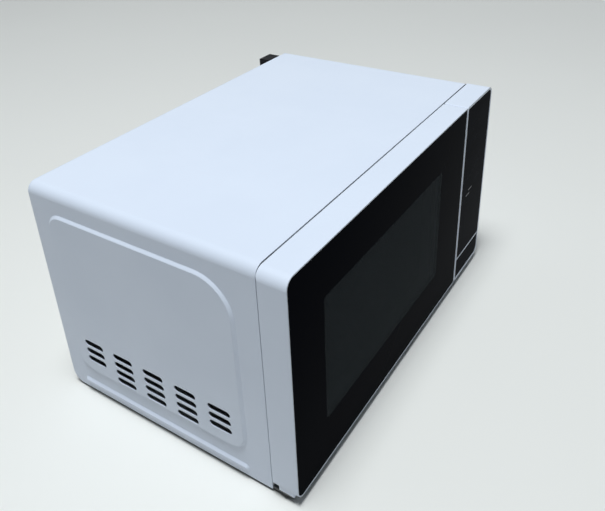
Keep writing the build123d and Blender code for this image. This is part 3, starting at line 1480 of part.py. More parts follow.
# ---------------------------------------------------------------- build and export
def make_nodes():
    """Every piece by its node name."""
    nodes = {
        "outer_casing": make_outer_casing(),
        "rear_panel": make_rear_panel(),
        "base_plate": make_base_plate(),
        "motor_cover": make_motor_cover(),
        "feet": make_feet(),
        "rear_spacer": make_rear_spacer(),
        "screws": make_screws(),
        "cord_gland": make_cord_gland(),
        "front_plate": make_front_plate(),
        "cavity": make_cavity(),
        "waveguide_cover": make_waveguide_cover(),
        "waveguide": make_waveguide(),
        "magnetron_yoke": make_magnetron_yoke(),
        "magnetron_anode": make_magnetron_anode(),
        "magnetron_antenna": make_magnetron_antenna(),
        "magnetron_filter_box": make_magnetron_filter_box(),
        "transformer_core": make_transformer_core(),
        "transformer_windings": make_transformer_windings(),
        "hv_capacitor": make_hv_capacitor(),
        "capacitor_clamp": make_capacitor_clamp(),
        "hv_diode": make_hv_diode(),
        "fan_shroud": make_fan_shroud(),
        "fan_motor_core": make_fan_motor_core(),
        "fan_motor_coil": make_fan_motor_coil(),
        "fan_blade": make_fan_blade(),
        "lamp_holder": make_lamp_holder(),
        "oven_lamp": make_oven_lamp(),
        "thermal_cutouts": make_thermal_cutouts(),
        "filter_board": make_filter_board(),
        "filter_parts": make_filter_parts(),
        "turntable_motor": make_turntable_motor(),
        "drive_coupler": make_drive_coupler(),
        "glass_tray": make_glass_tray(),
        "roller_ring": make_roller_ring(),
        "hinge_lower": make_hinge_lower(),
        "hinge_upper": make_hinge_upper(),
        "door_frame": make_door_frame(),
        "door_glass": make_door_glass(),
        "door_choke": make_door_choke(),
        "door_screen": make_door_screen(),
        "door_inner_cover": make_door_inner_cover(),
        "door_inner_film": make_door_inner_film(),
        "door_latch": make_door_latch(),
        "latch_spring": make_latch_spring(),
        "control_housing": make_control_housing(),
        "control_fascia": make_control_fascia(),
        "control_board": make_control_board(),
        "display_module": make_display_module(),
        "board_parts": make_board_parts(),
        "open_button": make_open_button(),
        "button_spring": make_button_spring(),
        "release_lever": make_release_lever(),
        "latch_board": make_latch_board(),
        "door_switches": make_door_switches(),
    }
    for number, angle in enumerate(roller_angles(), start=1):
        nodes[f"roller_{number}"] = make_roller(angle)
    for number, place in enumerate(switch_places(), start=1):
        nodes[f"switch_plunger_{number}"] = make_switch_plunger(place)
    return nodes


os.makedirs("parts", exist_ok=True)
for node_name, shape in make_nodes().items():
    shape.label = node_name
    export_step(shape, f"parts/{node_name}.step")
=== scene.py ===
"""Looks of a compact countertop microwave oven, built around its fixed CAD frame.

Metres, in the frame of the CAD model: +X to the right seen from the front, +Y to the
back, +Z up, origin on the table under the middle of the oven.
"""

import logging
import math
from dataclasses import dataclass, field
from enum import Enum
from functools import lru_cache

import bmesh
import bpy
from mathutils import Matrix, Vector


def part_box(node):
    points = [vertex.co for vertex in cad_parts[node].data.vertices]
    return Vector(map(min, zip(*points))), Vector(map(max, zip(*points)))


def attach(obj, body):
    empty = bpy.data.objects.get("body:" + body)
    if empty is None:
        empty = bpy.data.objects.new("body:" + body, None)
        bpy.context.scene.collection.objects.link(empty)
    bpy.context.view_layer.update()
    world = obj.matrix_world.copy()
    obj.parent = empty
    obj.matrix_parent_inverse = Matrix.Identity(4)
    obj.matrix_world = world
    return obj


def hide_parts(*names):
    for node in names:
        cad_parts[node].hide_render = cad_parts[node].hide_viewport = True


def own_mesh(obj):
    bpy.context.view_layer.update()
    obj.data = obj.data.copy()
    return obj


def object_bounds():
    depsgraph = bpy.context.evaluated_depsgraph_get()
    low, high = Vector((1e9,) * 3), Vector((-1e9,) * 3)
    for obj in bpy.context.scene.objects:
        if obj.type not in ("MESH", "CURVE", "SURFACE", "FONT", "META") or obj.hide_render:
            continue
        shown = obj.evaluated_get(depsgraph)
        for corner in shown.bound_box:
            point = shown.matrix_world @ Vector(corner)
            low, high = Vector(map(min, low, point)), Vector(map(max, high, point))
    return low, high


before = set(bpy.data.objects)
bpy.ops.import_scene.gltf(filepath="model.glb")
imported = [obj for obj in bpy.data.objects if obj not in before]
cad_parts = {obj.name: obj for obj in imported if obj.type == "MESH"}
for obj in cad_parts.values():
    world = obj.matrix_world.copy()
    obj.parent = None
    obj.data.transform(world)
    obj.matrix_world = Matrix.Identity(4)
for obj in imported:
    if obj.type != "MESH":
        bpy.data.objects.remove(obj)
CAD_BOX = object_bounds()

LOG = logging.getLogger("microwave_oven")
MM = 0.001
SMOOTH_BELOW = math.radians(35)
EDGE_SAMPLES = 4
# samples of the occlusion node that paints shade on the floor under the oven
PAINTED_SHADE_SAMPLES = 12
HOLE_CORNERS = 8
WIRE_STEPS = 24
WIRE_FACETS = 8
CLOSED_RISE = 2.1  # rise of a closed turn, in radii of the wire
Colour = tuple[float, float, float]
Limits = tuple[float, float]
UNIT: Limits = (0.0, 1.0)


# ---------------------------------------------------------------- node graphs
class Graph:
    """Node tree of one finish, with short ways to add the kinds of node that finishes share."""

    def __init__(self, name: str) -> None:
        """Starts a material with a Principled shader on its output.

        Args:
            name: Name of the Blender material.
        """
        self.material = bpy.data.materials.new(name)
        self.material.use_nodes = True
        self.tree = self.material.node_tree
        self.tree.nodes.clear()
        self.shader = self.add("ShaderNodeBsdfPrincipled")
        output = self.add("ShaderNodeOutputMaterial")
        self.tree.links.new(self.shader.outputs[0], output.inputs["Surface"])
        self.place = self.add("ShaderNodeTexCoord").outputs["Object"]

    def add(self, kind: str, **settings: object) -> bpy.types.Node:
        """Adds a node and sets its properties.

        Args:
            kind: Blender's node type.
            **settings: Properties of the node.

        Returns:
            The new node.
        """
        node = self.tree.nodes.new(kind)
        for key, value in settings.items():
            setattr(node, key, value)
        return node

    def feed(self, socket: bpy.types.NodeSocket, value: object) -> None:
        """Links a socket to another one, or sets its own value.

        Args:
            socket: Input to fill.
            value: Output socket, number or colour.
        """
        if isinstance(value, bpy.types.NodeSocket):
            self.tree.links.new(value, socket)
        elif isinstance(value, tuple) and len(value) == 3 and socket.type == "RGBA":
            socket.default_value = (*value, 1.0)
        else:
            socket.default_value = value

    def stretched(self, factors: Colour) -> bpy.types.NodeSocket:
        """Returns the surface's place with each axis multiplied by its factor."""
        node = self.add("ShaderNodeVectorMath", operation="MULTIPLY")
        self.feed(node.inputs[0], self.place)
        node.inputs[1].default_value = factors
        return node.outputs[0]

    def noise(self, size: float, detail: float = 3.0, stretch: Colour = (1, 1, 1)) -> bpy.types.NodeSocket:
        """Adds soft noise.

        Args:
            size: Length of one blotch in metres.
            detail: How many finer layers lie on it.
            stretch: Factors on the three axes.

        Returns:
            Values around 0.5.
        """
        node = self.add("ShaderNodeTexNoise")
        self.feed(node.inputs["Vector"], self.stretched(stretch))
        node.inputs["Scale"].default_value = 1.0 / size
        node.inputs["Detail"].default_value = detail
        return node.outputs[0]

    def cells(self, size: float, shape: str = "F1", stretch: Colour = (1, 1, 1)) -> bpy.types.Node:
        """Adds a cell pattern.

        Args:
            size: Width of one cell in metres.
            shape: Voronoi feature.
            stretch: Factors on the three axes.

        Returns:
            The Voronoi node, whose outputs are Distance and Color.
        """
        node = self.add("ShaderNodeTexVoronoi", feature=shape)
        self.feed(node.inputs["Vector"], self.stretched(stretch))
        node.inputs["Scale"].default_value = 1.0 / size
        return node

    def bands(self, pitch: float, axis: str, wobble: float = 0.0) -> bpy.types.NodeSocket:
        """Adds parallel bands.

        Args:
            pitch: Distance from one band to the next in metres.
            axis: X, Y or Z, the direction across the bands.
            wobble: How uneven they are.

        Returns:
            Values from 0 to 1.
        """
        node = self.add("ShaderNodeTexWave", bands_direction=axis)
        self.feed(node.inputs["Vector"], self.place)
        node.inputs["Scale"].default_value = math.pi / (10.0 * pitch)
        node.inputs["Distortion"].default_value = wobble
        return node.outputs[1]

    def remap(self, value: object, source: Limits, target: Limits) -> bpy.types.NodeSocket:
        """Maps one range to another, clamped.

        Args:
            value: Socket to map.
            source: Lowest and highest value coming in.
            target: Lowest and highest value going out.

        Returns:
            The mapped value.
        """
        node = self.add("ShaderNodeMapRange")
        self.feed(node.inputs["Value"], value)
        for name, number in zip(("From Min", "From Max", "To Min", "To Max"), (*source, *target)):
            node.inputs[name].default_value = number
        return node.outputs[0]

    def mix(self, factor: object, first: object, second: object) -> bpy.types.NodeSocket:
        """Mixes two colours.

        Args:
            factor: 0 gives the first and 1 the second.
            first: Colour or socket.
            second: Colour or socket.

        Returns:
            The mixed colour.
        """
        node = self.add("ShaderNodeMix", data_type="RGBA")
        self.feed(node.inputs[0], factor)
        self.feed(node.inputs[6], first)
        self.feed(node.inputs[7], second)
        return node.outputs[2]

    def math(self, operation: str, first: object, second: object = 0.0) -> bpy.types.NodeSocket:
        """Returns the result of one Math node on two values."""
        node = self.add("ShaderNodeMath", operation=operation)
        self.feed(node.inputs[0], first)
        self.feed(node.inputs[1], second)
        return node.outputs[0]

    def bump(self, height: object, depth: float, below: object = None) -> bpy.types.NodeSocket:
        """Adds relief.

        Args:
            height: Socket from 0 to 1.
            depth: Height of the relief in metres.
            below: Normal that this one lies on.

        Returns:
            The new normal.
        """
        node = self.add("ShaderNodeBump")
        node.inputs["Distance"].default_value = depth
        self.feed(node.inputs["Height"], height)
        if below is not None:
            self.feed(node.inputs["Normal"], below)
        return node.outputs[0]

    def soft_edges(self, radius: float) -> bpy.types.NodeSocket:
        """Returns a normal that rounds every edge by a small radius."""
        node = self.add("ShaderNodeBevel", samples=EDGE_SAMPLES)
        node.inputs["Radius"].default_value = radius
        return node.outputs[0]

    def facing_up(self) -> bpy.types.NodeSocket:
        """Returns 1 where the surface faces up, and 0 on its sides and below."""
        geometry = self.add("ShaderNodeNewGeometry")
        parts = self.add("ShaderNodeSeparateXYZ")
        self.feed(parts.inputs[0], geometry.outputs["Normal"])
        return self.remap(parts.outputs["Z"], (0.4, 1.0), (0.0, 1.0))

    def surface(self, colour: object, roughness: object, normal: object) -> None:
        """Fills the shader's main sockets.

        Args:
            colour: Base colour or socket.
            roughness: Roughness or socket.
            normal: Normal socket.
        """
        self.feed(self.shader.inputs["Base Color"], colour)
        self.feed(self.shader.inputs["Roughness"], roughness)
        self.feed(self.shader.inputs["Normal"], normal)


def seen_rays(tree: bpy.types.NodeTree) -> bpy.types.NodeSocket:
    """Tells the rays of eyes, gloss and clear glass from those of soft light.

    Args:
        tree: Node tree to add to.

    Returns:
        1 on the rays that see, and 0 on the others.
    """
    rays = tree.nodes.new("ShaderNodeLightPath")
    seen = rays.outputs["Is Camera Ray"]
    for name in ("Is Glossy Ray", "Is Transmission Ray"):
        either = tree.nodes.new("ShaderNodeMath")
        either.operation = "MAXIMUM"
        tree.links.new(seen, either.inputs[0])
        tree.links.new(rays.outputs[name], either.inputs[1])
        seen = either.outputs[0]
    return seen


# ---------------------------------------------------------------- finishes
@dataclass(frozen=True)
class Finish:
    """A surface with its colour, gloss and fine relief.

    The plain finish is a moulded one: soft blotches in the colour, wandering gloss and a fine grain.
    """

    name: str
    colour: Colour
    shade: Colour
    roughness: Limits = (0.35, 0.5)
    metal: float = 0.0
    specular: float = 0.5
    coat: float = 0.0
    coat_roughness: float = 0.06
    grain: float = 0.8 * MM
    depth: float = 0.02 * MM
    edge: float = 0.3 * MM
    blotch: float = 45 * MM

    @lru_cache(maxsize=None)
    def material(self) -> bpy.types.Material:
        """Builds the material once and returns it from then on."""
        graph = Graph(self.name)
        graph.shader.inputs["Metallic"].default_value = self.metal
        graph.shader.inputs["Specular IOR Level"].default_value = self.specular
        graph.shader.inputs["Coat Weight"].default_value = self.coat
        graph.shader.inputs["Coat Roughness"].default_value = self.coat_roughness
        self.paint(graph)
        return graph.material

    def paint(self, graph: Graph) -> None:
        """Adds the colour, the gloss and the relief.

        Args:
            graph: Node tree to fill.
        """
        cloud = graph.noise(self.blotch, 4.0)
        colour = graph.mix(graph.remap(cloud, (0.35, 0.65), UNIT), self.colour, self.shade)
        gloss = graph.remap(graph.noise(self.blotch / 3, 5.0), (0.3, 0.7), self.roughness)
        grain = graph.cells(self.grain).outputs["Distance"]
        graph.surface(colour, gloss, graph.bump(grain, self.depth, graph.soft_edges(self.edge)))


@dataclass(frozen=True)
class PowderCoat(Finish):
    """Paint on sheet steel: a faint orange peel, fine specks of dust and a few hairline scuffs."""

    dust_pitch: float = 9 * MM
    dust_shade: float = 0.72
    scuff_size: float = 2.2 * MM

    def paint(self, graph: Graph) -> None:
        """Adds the coat's relief, dust and scuffs.

        Args:
            graph: Node tree to fill.
        """
        cloud = graph.remap(graph.noise(self.blotch, 5.0), (0.38, 0.62), UNIT)
        base = graph.mix(cloud, self.colour, self.shade)
        specks = graph.remap(graph.cells(self.dust_pitch).outputs["Distance"], (0.0, 0.035), (0.35, 0.0))
        dusty = graph.math("MULTIPLY", specks, graph.facing_up())
        tint = tuple(self.dust_shade * part for part in self.shade)
        colour = graph.mix(dusty, base, tint)
        hairlines = graph.noise(self.scuff_size, 2.0, (0.12, 0.05, 1.0))
        scuff = graph.remap(hairlines, (0.66, 0.72), (0.0, 0.12))
        gloss = graph.math("ADD", graph.remap(cloud, UNIT, self.roughness), scuff)
        peel = graph.noise(self.grain, 2.0)
        graph.surface(colour, gloss, graph.bump(peel, self.depth, graph.soft_edges(self.edge)))


@dataclass(frozen=True)
class Enamel(Finish):
    """Speckled oven enamel with a thin film of old steam marks."""

    speckle_pitch: float = 2.6 * MM
    speckle_shade: float = 0.5

    def paint(self, graph: Graph) -> None:
        """Adds the speckles and the steam marks.

        Args:
            graph: Node tree to fill.
        """
        marks = graph.remap(graph.noise(self.blotch, 6.0), (0.5, 0.72), UNIT)
        base = graph.mix(marks, self.colour, self.shade)
        dots = graph.remap(graph.cells(self.speckle_pitch).outputs["Distance"], (0.08, 0.2), (0.55, 0.0))
        dark = tuple(self.speckle_shade * part for part in self.colour)
        colour = graph.mix(dots, base, dark)
        gloss = graph.remap(marks, UNIT, self.roughness)
        relief = graph.noise(self.grain, 3.0)
        graph.surface(colour, gloss, graph.bump(relief, self.depth, graph.soft_edges(self.edge)))


@dataclass(frozen=True)
class GlossMoulding(Finish):
    """Deep gloss surface with wiped smears and fine dust."""

    smear_size: float = 14 * MM
    dust_pitch: float = 5 * MM
    dust_lift: float = 0.1

    def paint(self, graph: Graph) -> None:
        """Adds the smears and the dust.

        Args:
            graph: Node tree to fill.
        """
        wiped = graph.noise(self.smear_size, 4.0, (0.35, 1.0, 1.0))
        smear = graph.remap(wiped, (0.42, 0.7), UNIT)
        dust = graph.remap(graph.cells(self.dust_pitch).outputs["Distance"], (0.0, 0.04), (0.5, 0.0))
        base = graph.mix(smear, self.colour, self.shade)
        pale = tuple(part + self.dust_lift for part in self.shade)
        gloss = graph.remap(smear, UNIT, self.roughness)
        ripple = graph.noise(self.grain, 1.0)
        graph.surface(
            graph.mix(dust, base, pale), gloss, graph.bump(ripple, self.depth, graph.soft_edges(self.edge))
        )


@dataclass(frozen=True)
class BareSheet(Finish):
    """Zinc-plated or rolled metal: spangle, rolling streaks and dull spots."""

    def paint(self, graph: Graph) -> None:
        """Adds the spangle and the streaks.

        Args:
            graph: Node tree to fill.
        """
        spangle = graph.cells(self.blotch)
        flake = graph.add("ShaderNodeSeparateColor")
        graph.feed(flake.inputs[0], spangle.outputs["Color"])
        streak = graph.noise(self.grain, 4.0, (0.06, 1.0, 1.0))
        share = graph.math("MULTIPLY", flake.outputs[0], graph.remap(streak, (0.3, 0.7), (0.4, 1.0)))
        colour = graph.mix(share, self.colour, self.shade)
        gloss = graph.remap(graph.math("ADD", streak, flake.outputs[1]), (0.3, 1.5), self.roughness)
        graph.surface(colour, gloss, graph.bump(streak, self.depth, graph.soft_edges(self.edge)))


@dataclass(frozen=True)
class Laminated(Finish):
    """Stack of thin steel sheets, or turns of wire: bands across one axis."""

    pitch: float = 0.5 * MM
    axis: str = "Z"
    wobble: float = 0.4

    def paint(self, graph: Graph) -> None:
        """Adds the bands.

        Args:
            graph: Node tree to fill.
        """
        bands = graph.bands(self.pitch, self.axis, self.wobble)
        cloud = graph.noise(self.blotch, 4.0)
        share = graph.math("MULTIPLY", bands, graph.remap(cloud, (0.3, 0.7), (0.5, 1.0)))
        colour = graph.mix(share, self.shade, self.colour)
        gloss = graph.remap(cloud, (0.3, 0.7), self.roughness)
        graph.surface(colour, gloss, graph.bump(bands, self.depth, graph.soft_edges(self.edge)))


@dataclass(frozen=True)
class Rubber(Finish):
    """Dull rubber with a dusty bloom on it."""

    bloom_size: float = 6 * MM
    bloom_reach: Limits = (0.0, 0.7)

    def paint(self, graph: Graph) -> None:
        """Adds the bloom and the pores.

        Args:
            graph: Node tree to fill.
        """
        bloom = graph.remap(graph.noise(self.bloom_size, 6.0), (0.45, 0.75), self.bloom_reach)
        pores = graph.cells(self.grain, "SMOOTH_F1").outputs["Distance"]
        gloss = graph.remap(bloom, self.bloom_reach, self.roughness)
        graph.surface(graph.mix(bloom, self.colour, self.shade), gloss, graph.bump(pores, self.depth))


@dataclass(frozen=True)
class Mica(Finish):
    """Pressed mica sheet: overlapping pearly flakes."""

    def paint(self, graph: Graph) -> None:
        """Adds the flakes.

        Args:
            graph: Node tree to fill.
        """
        flakes = graph.cells(self.blotch, stretch=(1.0, 1.0, 0.6))
        parts = graph.add("ShaderNodeSeparateColor")
        graph.feed(parts.inputs[0], flakes.outputs["Color"])
        colour = graph.mix(parts.outputs[0], self.colour, self.shade)
        gloss = graph.remap(parts.outputs[1], UNIT, self.roughness)
        graph.surface(colour, gloss, graph.bump(parts.outputs[2], self.depth))


@dataclass(frozen=True)
class CircuitBoard(Finish):
    """Solder mask over copper tracks, with tinned pads."""

    pad_pitch: float = 4 * MM
    tinned: Colour = (0.62, 0.6, 0.55)

    def paint(self, graph: Graph) -> None:
        """Adds the tracks and the pads.

        Args:
            graph: Node tree to fill.
        """
        walls = graph.cells(self.blotch, "DISTANCE_TO_EDGE").outputs["Distance"]
        track = graph.remap(walls, (0.06, 0.09), (1.0, 0.0))
        pads = graph.remap(graph.cells(self.pad_pitch).outputs["Distance"], (0.16, 0.2), (1.0, 0.0))
        masked = graph.mix(track, self.colour, self.shade)
        colour = graph.mix(pads, masked, self.tinned)
        gloss = graph.remap(pads, UNIT, self.roughness)
        graph.surface(colour, gloss, graph.bump(graph.math("MAXIMUM", track, pads), self.depth))


@dataclass(frozen=True)
class ClearGlass(Finish):
    """Clear pressed glass or film with a faint tint, smears and tiny scratches."""

    index: float = 1.5
    scratch_size: float = 1.5 * MM

    def paint(self, graph: Graph) -> None:
        """Adds the smears and the scratches.

        Args:
            graph: Node tree to fill.
        """
        graph.shader.inputs["Transmission Weight"].default_value = 1.0
        graph.shader.inputs["IOR"].default_value = self.index
        smear = graph.remap(graph.noise(self.blotch, 5.0), (0.45, 0.7), UNIT)
        scratches = graph.noise(self.scratch_size, 1.0, (0.05, 1.0, 1.0))
        scratch = graph.remap(scratches, (0.68, 0.72), UNIT)
        gloss = graph.remap(graph.math("ADD", smear, scratch), (0.0, 2.0), self.roughness)
        colour = graph.mix(smear, self.colour, self.shade)
        graph.surface(colour, gloss, graph.bump(graph.noise(self.grain, 1.0), self.depth))


@dataclass(frozen=True)
class PrintedPane(Finish):
    """Door pane: opaque black print round a tinted window that shows the screen behind it."""

    window_x: Limits = (0.0, 0.1)
    window_z: Limits = (0.0, 0.1)
    corner: float = 4 * MM
    softness: float = 0.2 * MM
    tint: float = 0.72
    smear_size: float = 16 * MM
    dust_pitch: float = 6 * MM
    dust_lift: float = 0.08

    def paint(self, graph: Graph) -> None:
        """Adds the print's outline, the smears and the dust.

        Args:
            graph: Node tree to fill.
        """
        window = self.window_mask(graph)
        wiped = graph.noise(self.smear_size, 4.0, (0.3, 1.0, 1.0))
        smear = graph.remap(wiped, (0.42, 0.72), UNIT)
        dust = graph.remap(graph.cells(self.dust_pitch).outputs["Distance"], (0.0, 0.03), (0.4, 0.0))
        base = graph.mix(window, self.colour, self.shade)
        pale = tuple(part + self.dust_lift for part in self.shade)
        gloss = graph.remap(smear, UNIT, self.roughness)
        graph.feed(graph.shader.inputs["Alpha"], graph.remap(window, UNIT, (1.0, self.tint)))
        ripple = graph.bump(graph.noise(self.grain, 1.0), self.depth)
        graph.surface(graph.mix(dust, base, pale), gloss, ripple)

    def window_mask(self, graph: Graph) -> bpy.types.NodeSocket:
        """Returns 1 inside the rounded window and 0 on the print.

        Args:
            graph: Node tree to add to.
        """
        middle = (sum(self.window_x) / 2, 0.0, sum(self.window_z) / 2)
        half_x = (self.window_x[1] - self.window_x[0]) / 2 - self.corner
        half_z = (self.window_z[1] - self.window_z[0]) / 2 - self.corner
        socket = graph.place
        steps = (
            ("SUBTRACT", middle),
            ("MULTIPLY", (1.0, 0.0, 1.0)),
            ("ABSOLUTE", None),
            ("SUBTRACT", (half_x, 0.0, half_z)),
            ("MAXIMUM", (0.0, 0.0, 0.0)),
            ("LENGTH", None),
        )
        for operation, value in steps:
            node = graph.add("ShaderNodeVectorMath", operation=operation)
            graph.feed(node.inputs[0], socket)
            if value is not None:
                node.inputs[1].default_value = value
            socket = node.outputs["Value"] if operation == "LENGTH" else node.outputs[0]
        return graph.remap(socket, (self.corner - self.softness, self.corner + self.softness), (1.0, 0.0))


@dataclass(frozen=True)
class FloorPaint(Finish):
    """Plain pale floor, which looks paler than the soft light that it throws back, with painted shade under
    and round the oven.
    """

    bounce: Colour = (0.5, 0.5, 0.5)
    # painted shade: the floor's colour turns to this dark tone within this reach of the oven's parts
    painted_shade_colour: Colour = (0.13, 0.145, 0.13)
    painted_shade_reach: float = 30 * MM

    def paint(self, graph: Graph) -> None:
        """Adds the faint blotches, the painted shade that darkens the floor under and round the oven, and
        both levels.

        Args:
            graph: Node tree to fill.
        """
        cloud = graph.noise(self.blotch, 3.0)
        pale = graph.mix(graph.remap(cloud, (0.35, 0.65), UNIT), self.colour, self.shade)
        # painted shade: an occlusion node darkens the floor's colour under and round the oven
        occlusion_shade = graph.add("ShaderNodeAmbientOcclusion", samples=PAINTED_SHADE_SAMPLES)
        occlusion_shade.inputs["Distance"].default_value = self.painted_shade_reach
        shown = graph.mix(graph.remap(occlusion_shade.outputs["AO"], (0.1, 0.5), (1.0, 0.0)), pale, self.painted_shade_colour)
        colour = graph.mix(seen_rays(graph.tree), self.bounce, shown)
        gloss = graph.remap(cloud, (0.3, 0.7), self.roughness)
        graph.surface(colour, gloss, graph.bump(graph.noise(self.grain, 2.0), self.depth))


class Shelf(Enum):
    """Every finish of the oven by its plain name."""

    WHITE_STEEL = PowderCoat(
        "white_powder_coat", (0.75, 0.81, 0.92), (0.73, 0.79, 0.9), (0.34, 0.42),
        specular=0.45, grain=1.1 * MM, depth=0.008 * MM, blotch=120 * MM, edge=1.2 * MM,
    )
    WHITE_PLASTIC = Finish(
        "white_gloss_plastic", (0.755, 0.815, 0.925), (0.735, 0.795, 0.905), (0.33, 0.4),
        specular=0.45, grain=1.0 * MM, depth=0.002 * MM, edge=0.45 * MM, blotch=120 * MM,
    )
    BLACK_GLOSS = GlossMoulding(
        "black_gloss_plastic", (0.003, 0.0035, 0.007), (0.005, 0.006, 0.01), (0.06, 0.13),
        specular=0.002, grain=18 * MM, depth=0.03 * MM, edge=0.3 * MM,
    )
    BLACK_PLASTIC = Finish(
        "black_grained_plastic", (0.012, 0.012, 0.014), (0.018, 0.018, 0.02), (0.5, 0.65),
        specular=0.06, grain=0.7 * MM, depth=0.05 * MM,
    )
    BLACK_STEEL = PowderCoat(
        "black_paint", (0.028, 0.029, 0.032), (0.036, 0.037, 0.04), (0.38, 0.5),
        grain=0.9 * MM, depth=0.03 * MM,
    )
    RUBBER = Rubber("foot_rubber", (0.02, 0.02, 0.02), (0.06, 0.058, 0.055), (0.75, 0.9), grain=0.6 * MM)
    ZINC = BareSheet(
        "zinc_sheet", (0.56, 0.58, 0.6), (0.68, 0.7, 0.72), (0.28, 0.46),
        metal=1.0, grain=1.4 * MM, depth=0.01 * MM, blotch=9 * MM,
    )
    SCREW = BareSheet(
        "bright_screw", (0.62, 0.62, 0.63), (0.78, 0.78, 0.78), (0.18, 0.35),
        metal=1.0, grain=0.4 * MM, depth=0.01 * MM, blotch=1.5 * MM, edge=0.15 * MM,
    )
    SPRING = BareSheet(
        "spring_wire", (0.45, 0.46, 0.48), (0.6, 0.61, 0.63), (0.2, 0.35),
        metal=1.0, grain=0.5 * MM, depth=0.01 * MM, blotch=2 * MM,
    )
    ENAMEL = Enamel(
        "cavity_enamel", (0.72, 0.735, 0.75), (0.64, 0.64, 0.62), (0.24, 0.42),
        grain=1.6 * MM, depth=0.02 * MM, blotch=70 * MM,
    )
    GREY_PLASTIC = Finish(
        "grey_grained_plastic", (0.44, 0.45, 0.47), (0.4, 0.41, 0.43), (0.4, 0.55),
        grain=0.6 * MM, depth=0.04 * MM,
    )
    NYLON = Finish(
        "natural_nylon", (0.74, 0.71, 0.63), (0.68, 0.64, 0.55), (0.34, 0.48),
        grain=1.2 * MM, depth=0.02 * MM, blotch=20 * MM,
    )
    MICA = Mica("mica", (0.6, 0.54, 0.42), (0.72, 0.66, 0.54), (0.25, 0.5), depth=0.03 * MM, blotch=3 * MM)
    CORE = Laminated(
        "core_laminations", (0.42, 0.43, 0.46), (0.2, 0.205, 0.22), (0.35, 0.5),
        metal=1.0, depth=0.1 * MM, pitch=0.8 * MM, axis="Y",
    )
    WINDING = Laminated(
        "enamelled_winding", (0.62, 0.27, 0.1), (0.22, 0.07, 0.03), (0.2, 0.35),
        metal=0.7, depth=0.25 * MM, pitch=1.2 * MM, axis="Z",
    )
    COPPER = BareSheet(
        "bare_copper", (0.66, 0.3, 0.17), (0.8, 0.42, 0.27), (0.25, 0.45),
        metal=1.0, grain=1 * MM, depth=0.01 * MM, blotch=12 * MM,
    )
    ALUMINIUM = BareSheet(
        "drawn_aluminium", (0.72, 0.73, 0.75), (0.82, 0.83, 0.84), (0.2, 0.36),
        metal=1.0, grain=1 * MM, depth=0.01 * MM, blotch=30 * MM,
    )
    CERAMIC = Finish(
        "pink_ceramic", (0.78, 0.4, 0.45), (0.7, 0.34, 0.4), (0.12, 0.2),
        coat=0.4, grain=2 * MM, depth=0.01 * MM, blotch=8 * MM,
    )
    PARTS = Finish(
        "moulded_parts", (0.05, 0.07, 0.1), (0.07, 0.09, 0.13), (0.32, 0.5),
        grain=0.5 * MM, depth=0.03 * MM, blotch=7 * MM,
    )
    BOARD = CircuitBoard(
        "circuit_board", (0.03, 0.19, 0.08), (0.07, 0.3, 0.13), (0.3, 0.18), depth=0.04 * MM, blotch=5 * MM
    )
    DISPLAY = GlossMoulding("display_filter", (0.02, 0.05, 0.045), (0.03, 0.06, 0.055), (0.08, 0.15))
    TRAY_GLASS = ClearGlass(
        "tray_glass", (0.93, 0.98, 0.96), (0.9, 0.95, 0.93), (0.02, 0.12),
        grain=9 * MM, depth=0.05 * MM, blotch=30 * MM,
    )
    FILM = ClearGlass(
        "clear_film", (0.95, 0.96, 0.96), (0.9, 0.91, 0.91), (0.05, 0.18),
        grain=6 * MM, depth=0.02 * MM, blotch=25 * MM, index=1.3,
    )
    LAMP_GLASS = ClearGlass("lamp_glass", (0.98, 0.96, 0.9), (0.93, 0.9, 0.82), (0.02, 0.1), blotch=9 * MM)
    PRINT = GlossMoulding("panel_print", (0.1, 0.1, 0.11), (0.13, 0.13, 0.14), (0.3, 0.45))


# ---------------------------------------------------------------- meshes
def add_piece(name: str, mesh: bmesh.types.BMesh, finish: Finish, smooth: bool = True) -> bpy.types.Object:
    """Turns a bmesh into an object with one finish.

    Args:
        name: Name of the piece.
        mesh: Its geometry, freed here.
        finish: Its finish.
        smooth: Whether its faces are shaded smooth, apart from its sharp edges.

    Returns:
        The new object, linked to the scene.
    """
    bmesh.ops.recalc_face_normals(mesh, faces=mesh.faces)
    data = bpy.data.meshes.new(name)
    mesh.to_mesh(data)
    mesh.free()
    piece = bpy.data.objects.new(name, data)
    bpy.context.scene.collection.objects.link(piece)
    data.materials.append(finish.material())
    if smooth:
        data.shade_smooth()
        data.set_sharp_from_angle(angle=SMOOTH_BELOW)
    LOG.info("made %s with %d faces", name, len(data.polygons))
    return piece


def lathe(profile: list[Limits], centre: Vector, steps: int) -> bmesh.types.BMesh:
    """Turns a closed profile round a vertical axis.

    Args:
        profile: Points (radius, height), those on the axis with radius 0.
        centre: Point that radius 0, height 0 is at.
        steps: How many facets go round.

    Returns:
        The closed mesh.
    """
    mesh = bmesh.new()
    rings = []
    for radius, height in profile:
        if radius <= 0.0:
            rings.append([mesh.verts.new(centre + Vector((0, 0, height)))])
            continue
        ring = []
        for step in range(steps):
            angle = 2 * math.pi * step / steps
            offset = Vector((radius * math.cos(angle), radius * math.sin(angle), height))
            ring.append(mesh.verts.new(centre + offset))
        rings.append(ring)
    for first, second in zip(rings, rings[1:]):
        for step in range(steps):
            following = (step + 1) % steps
            corners = [first[step % len(first)], second[step % len(second)]]
            if len(second) > 1:
                corners.append(second[following])
            if len(first) > 1:
                corners.append(first[following])
            mesh.faces.new(corners)
    return mesh


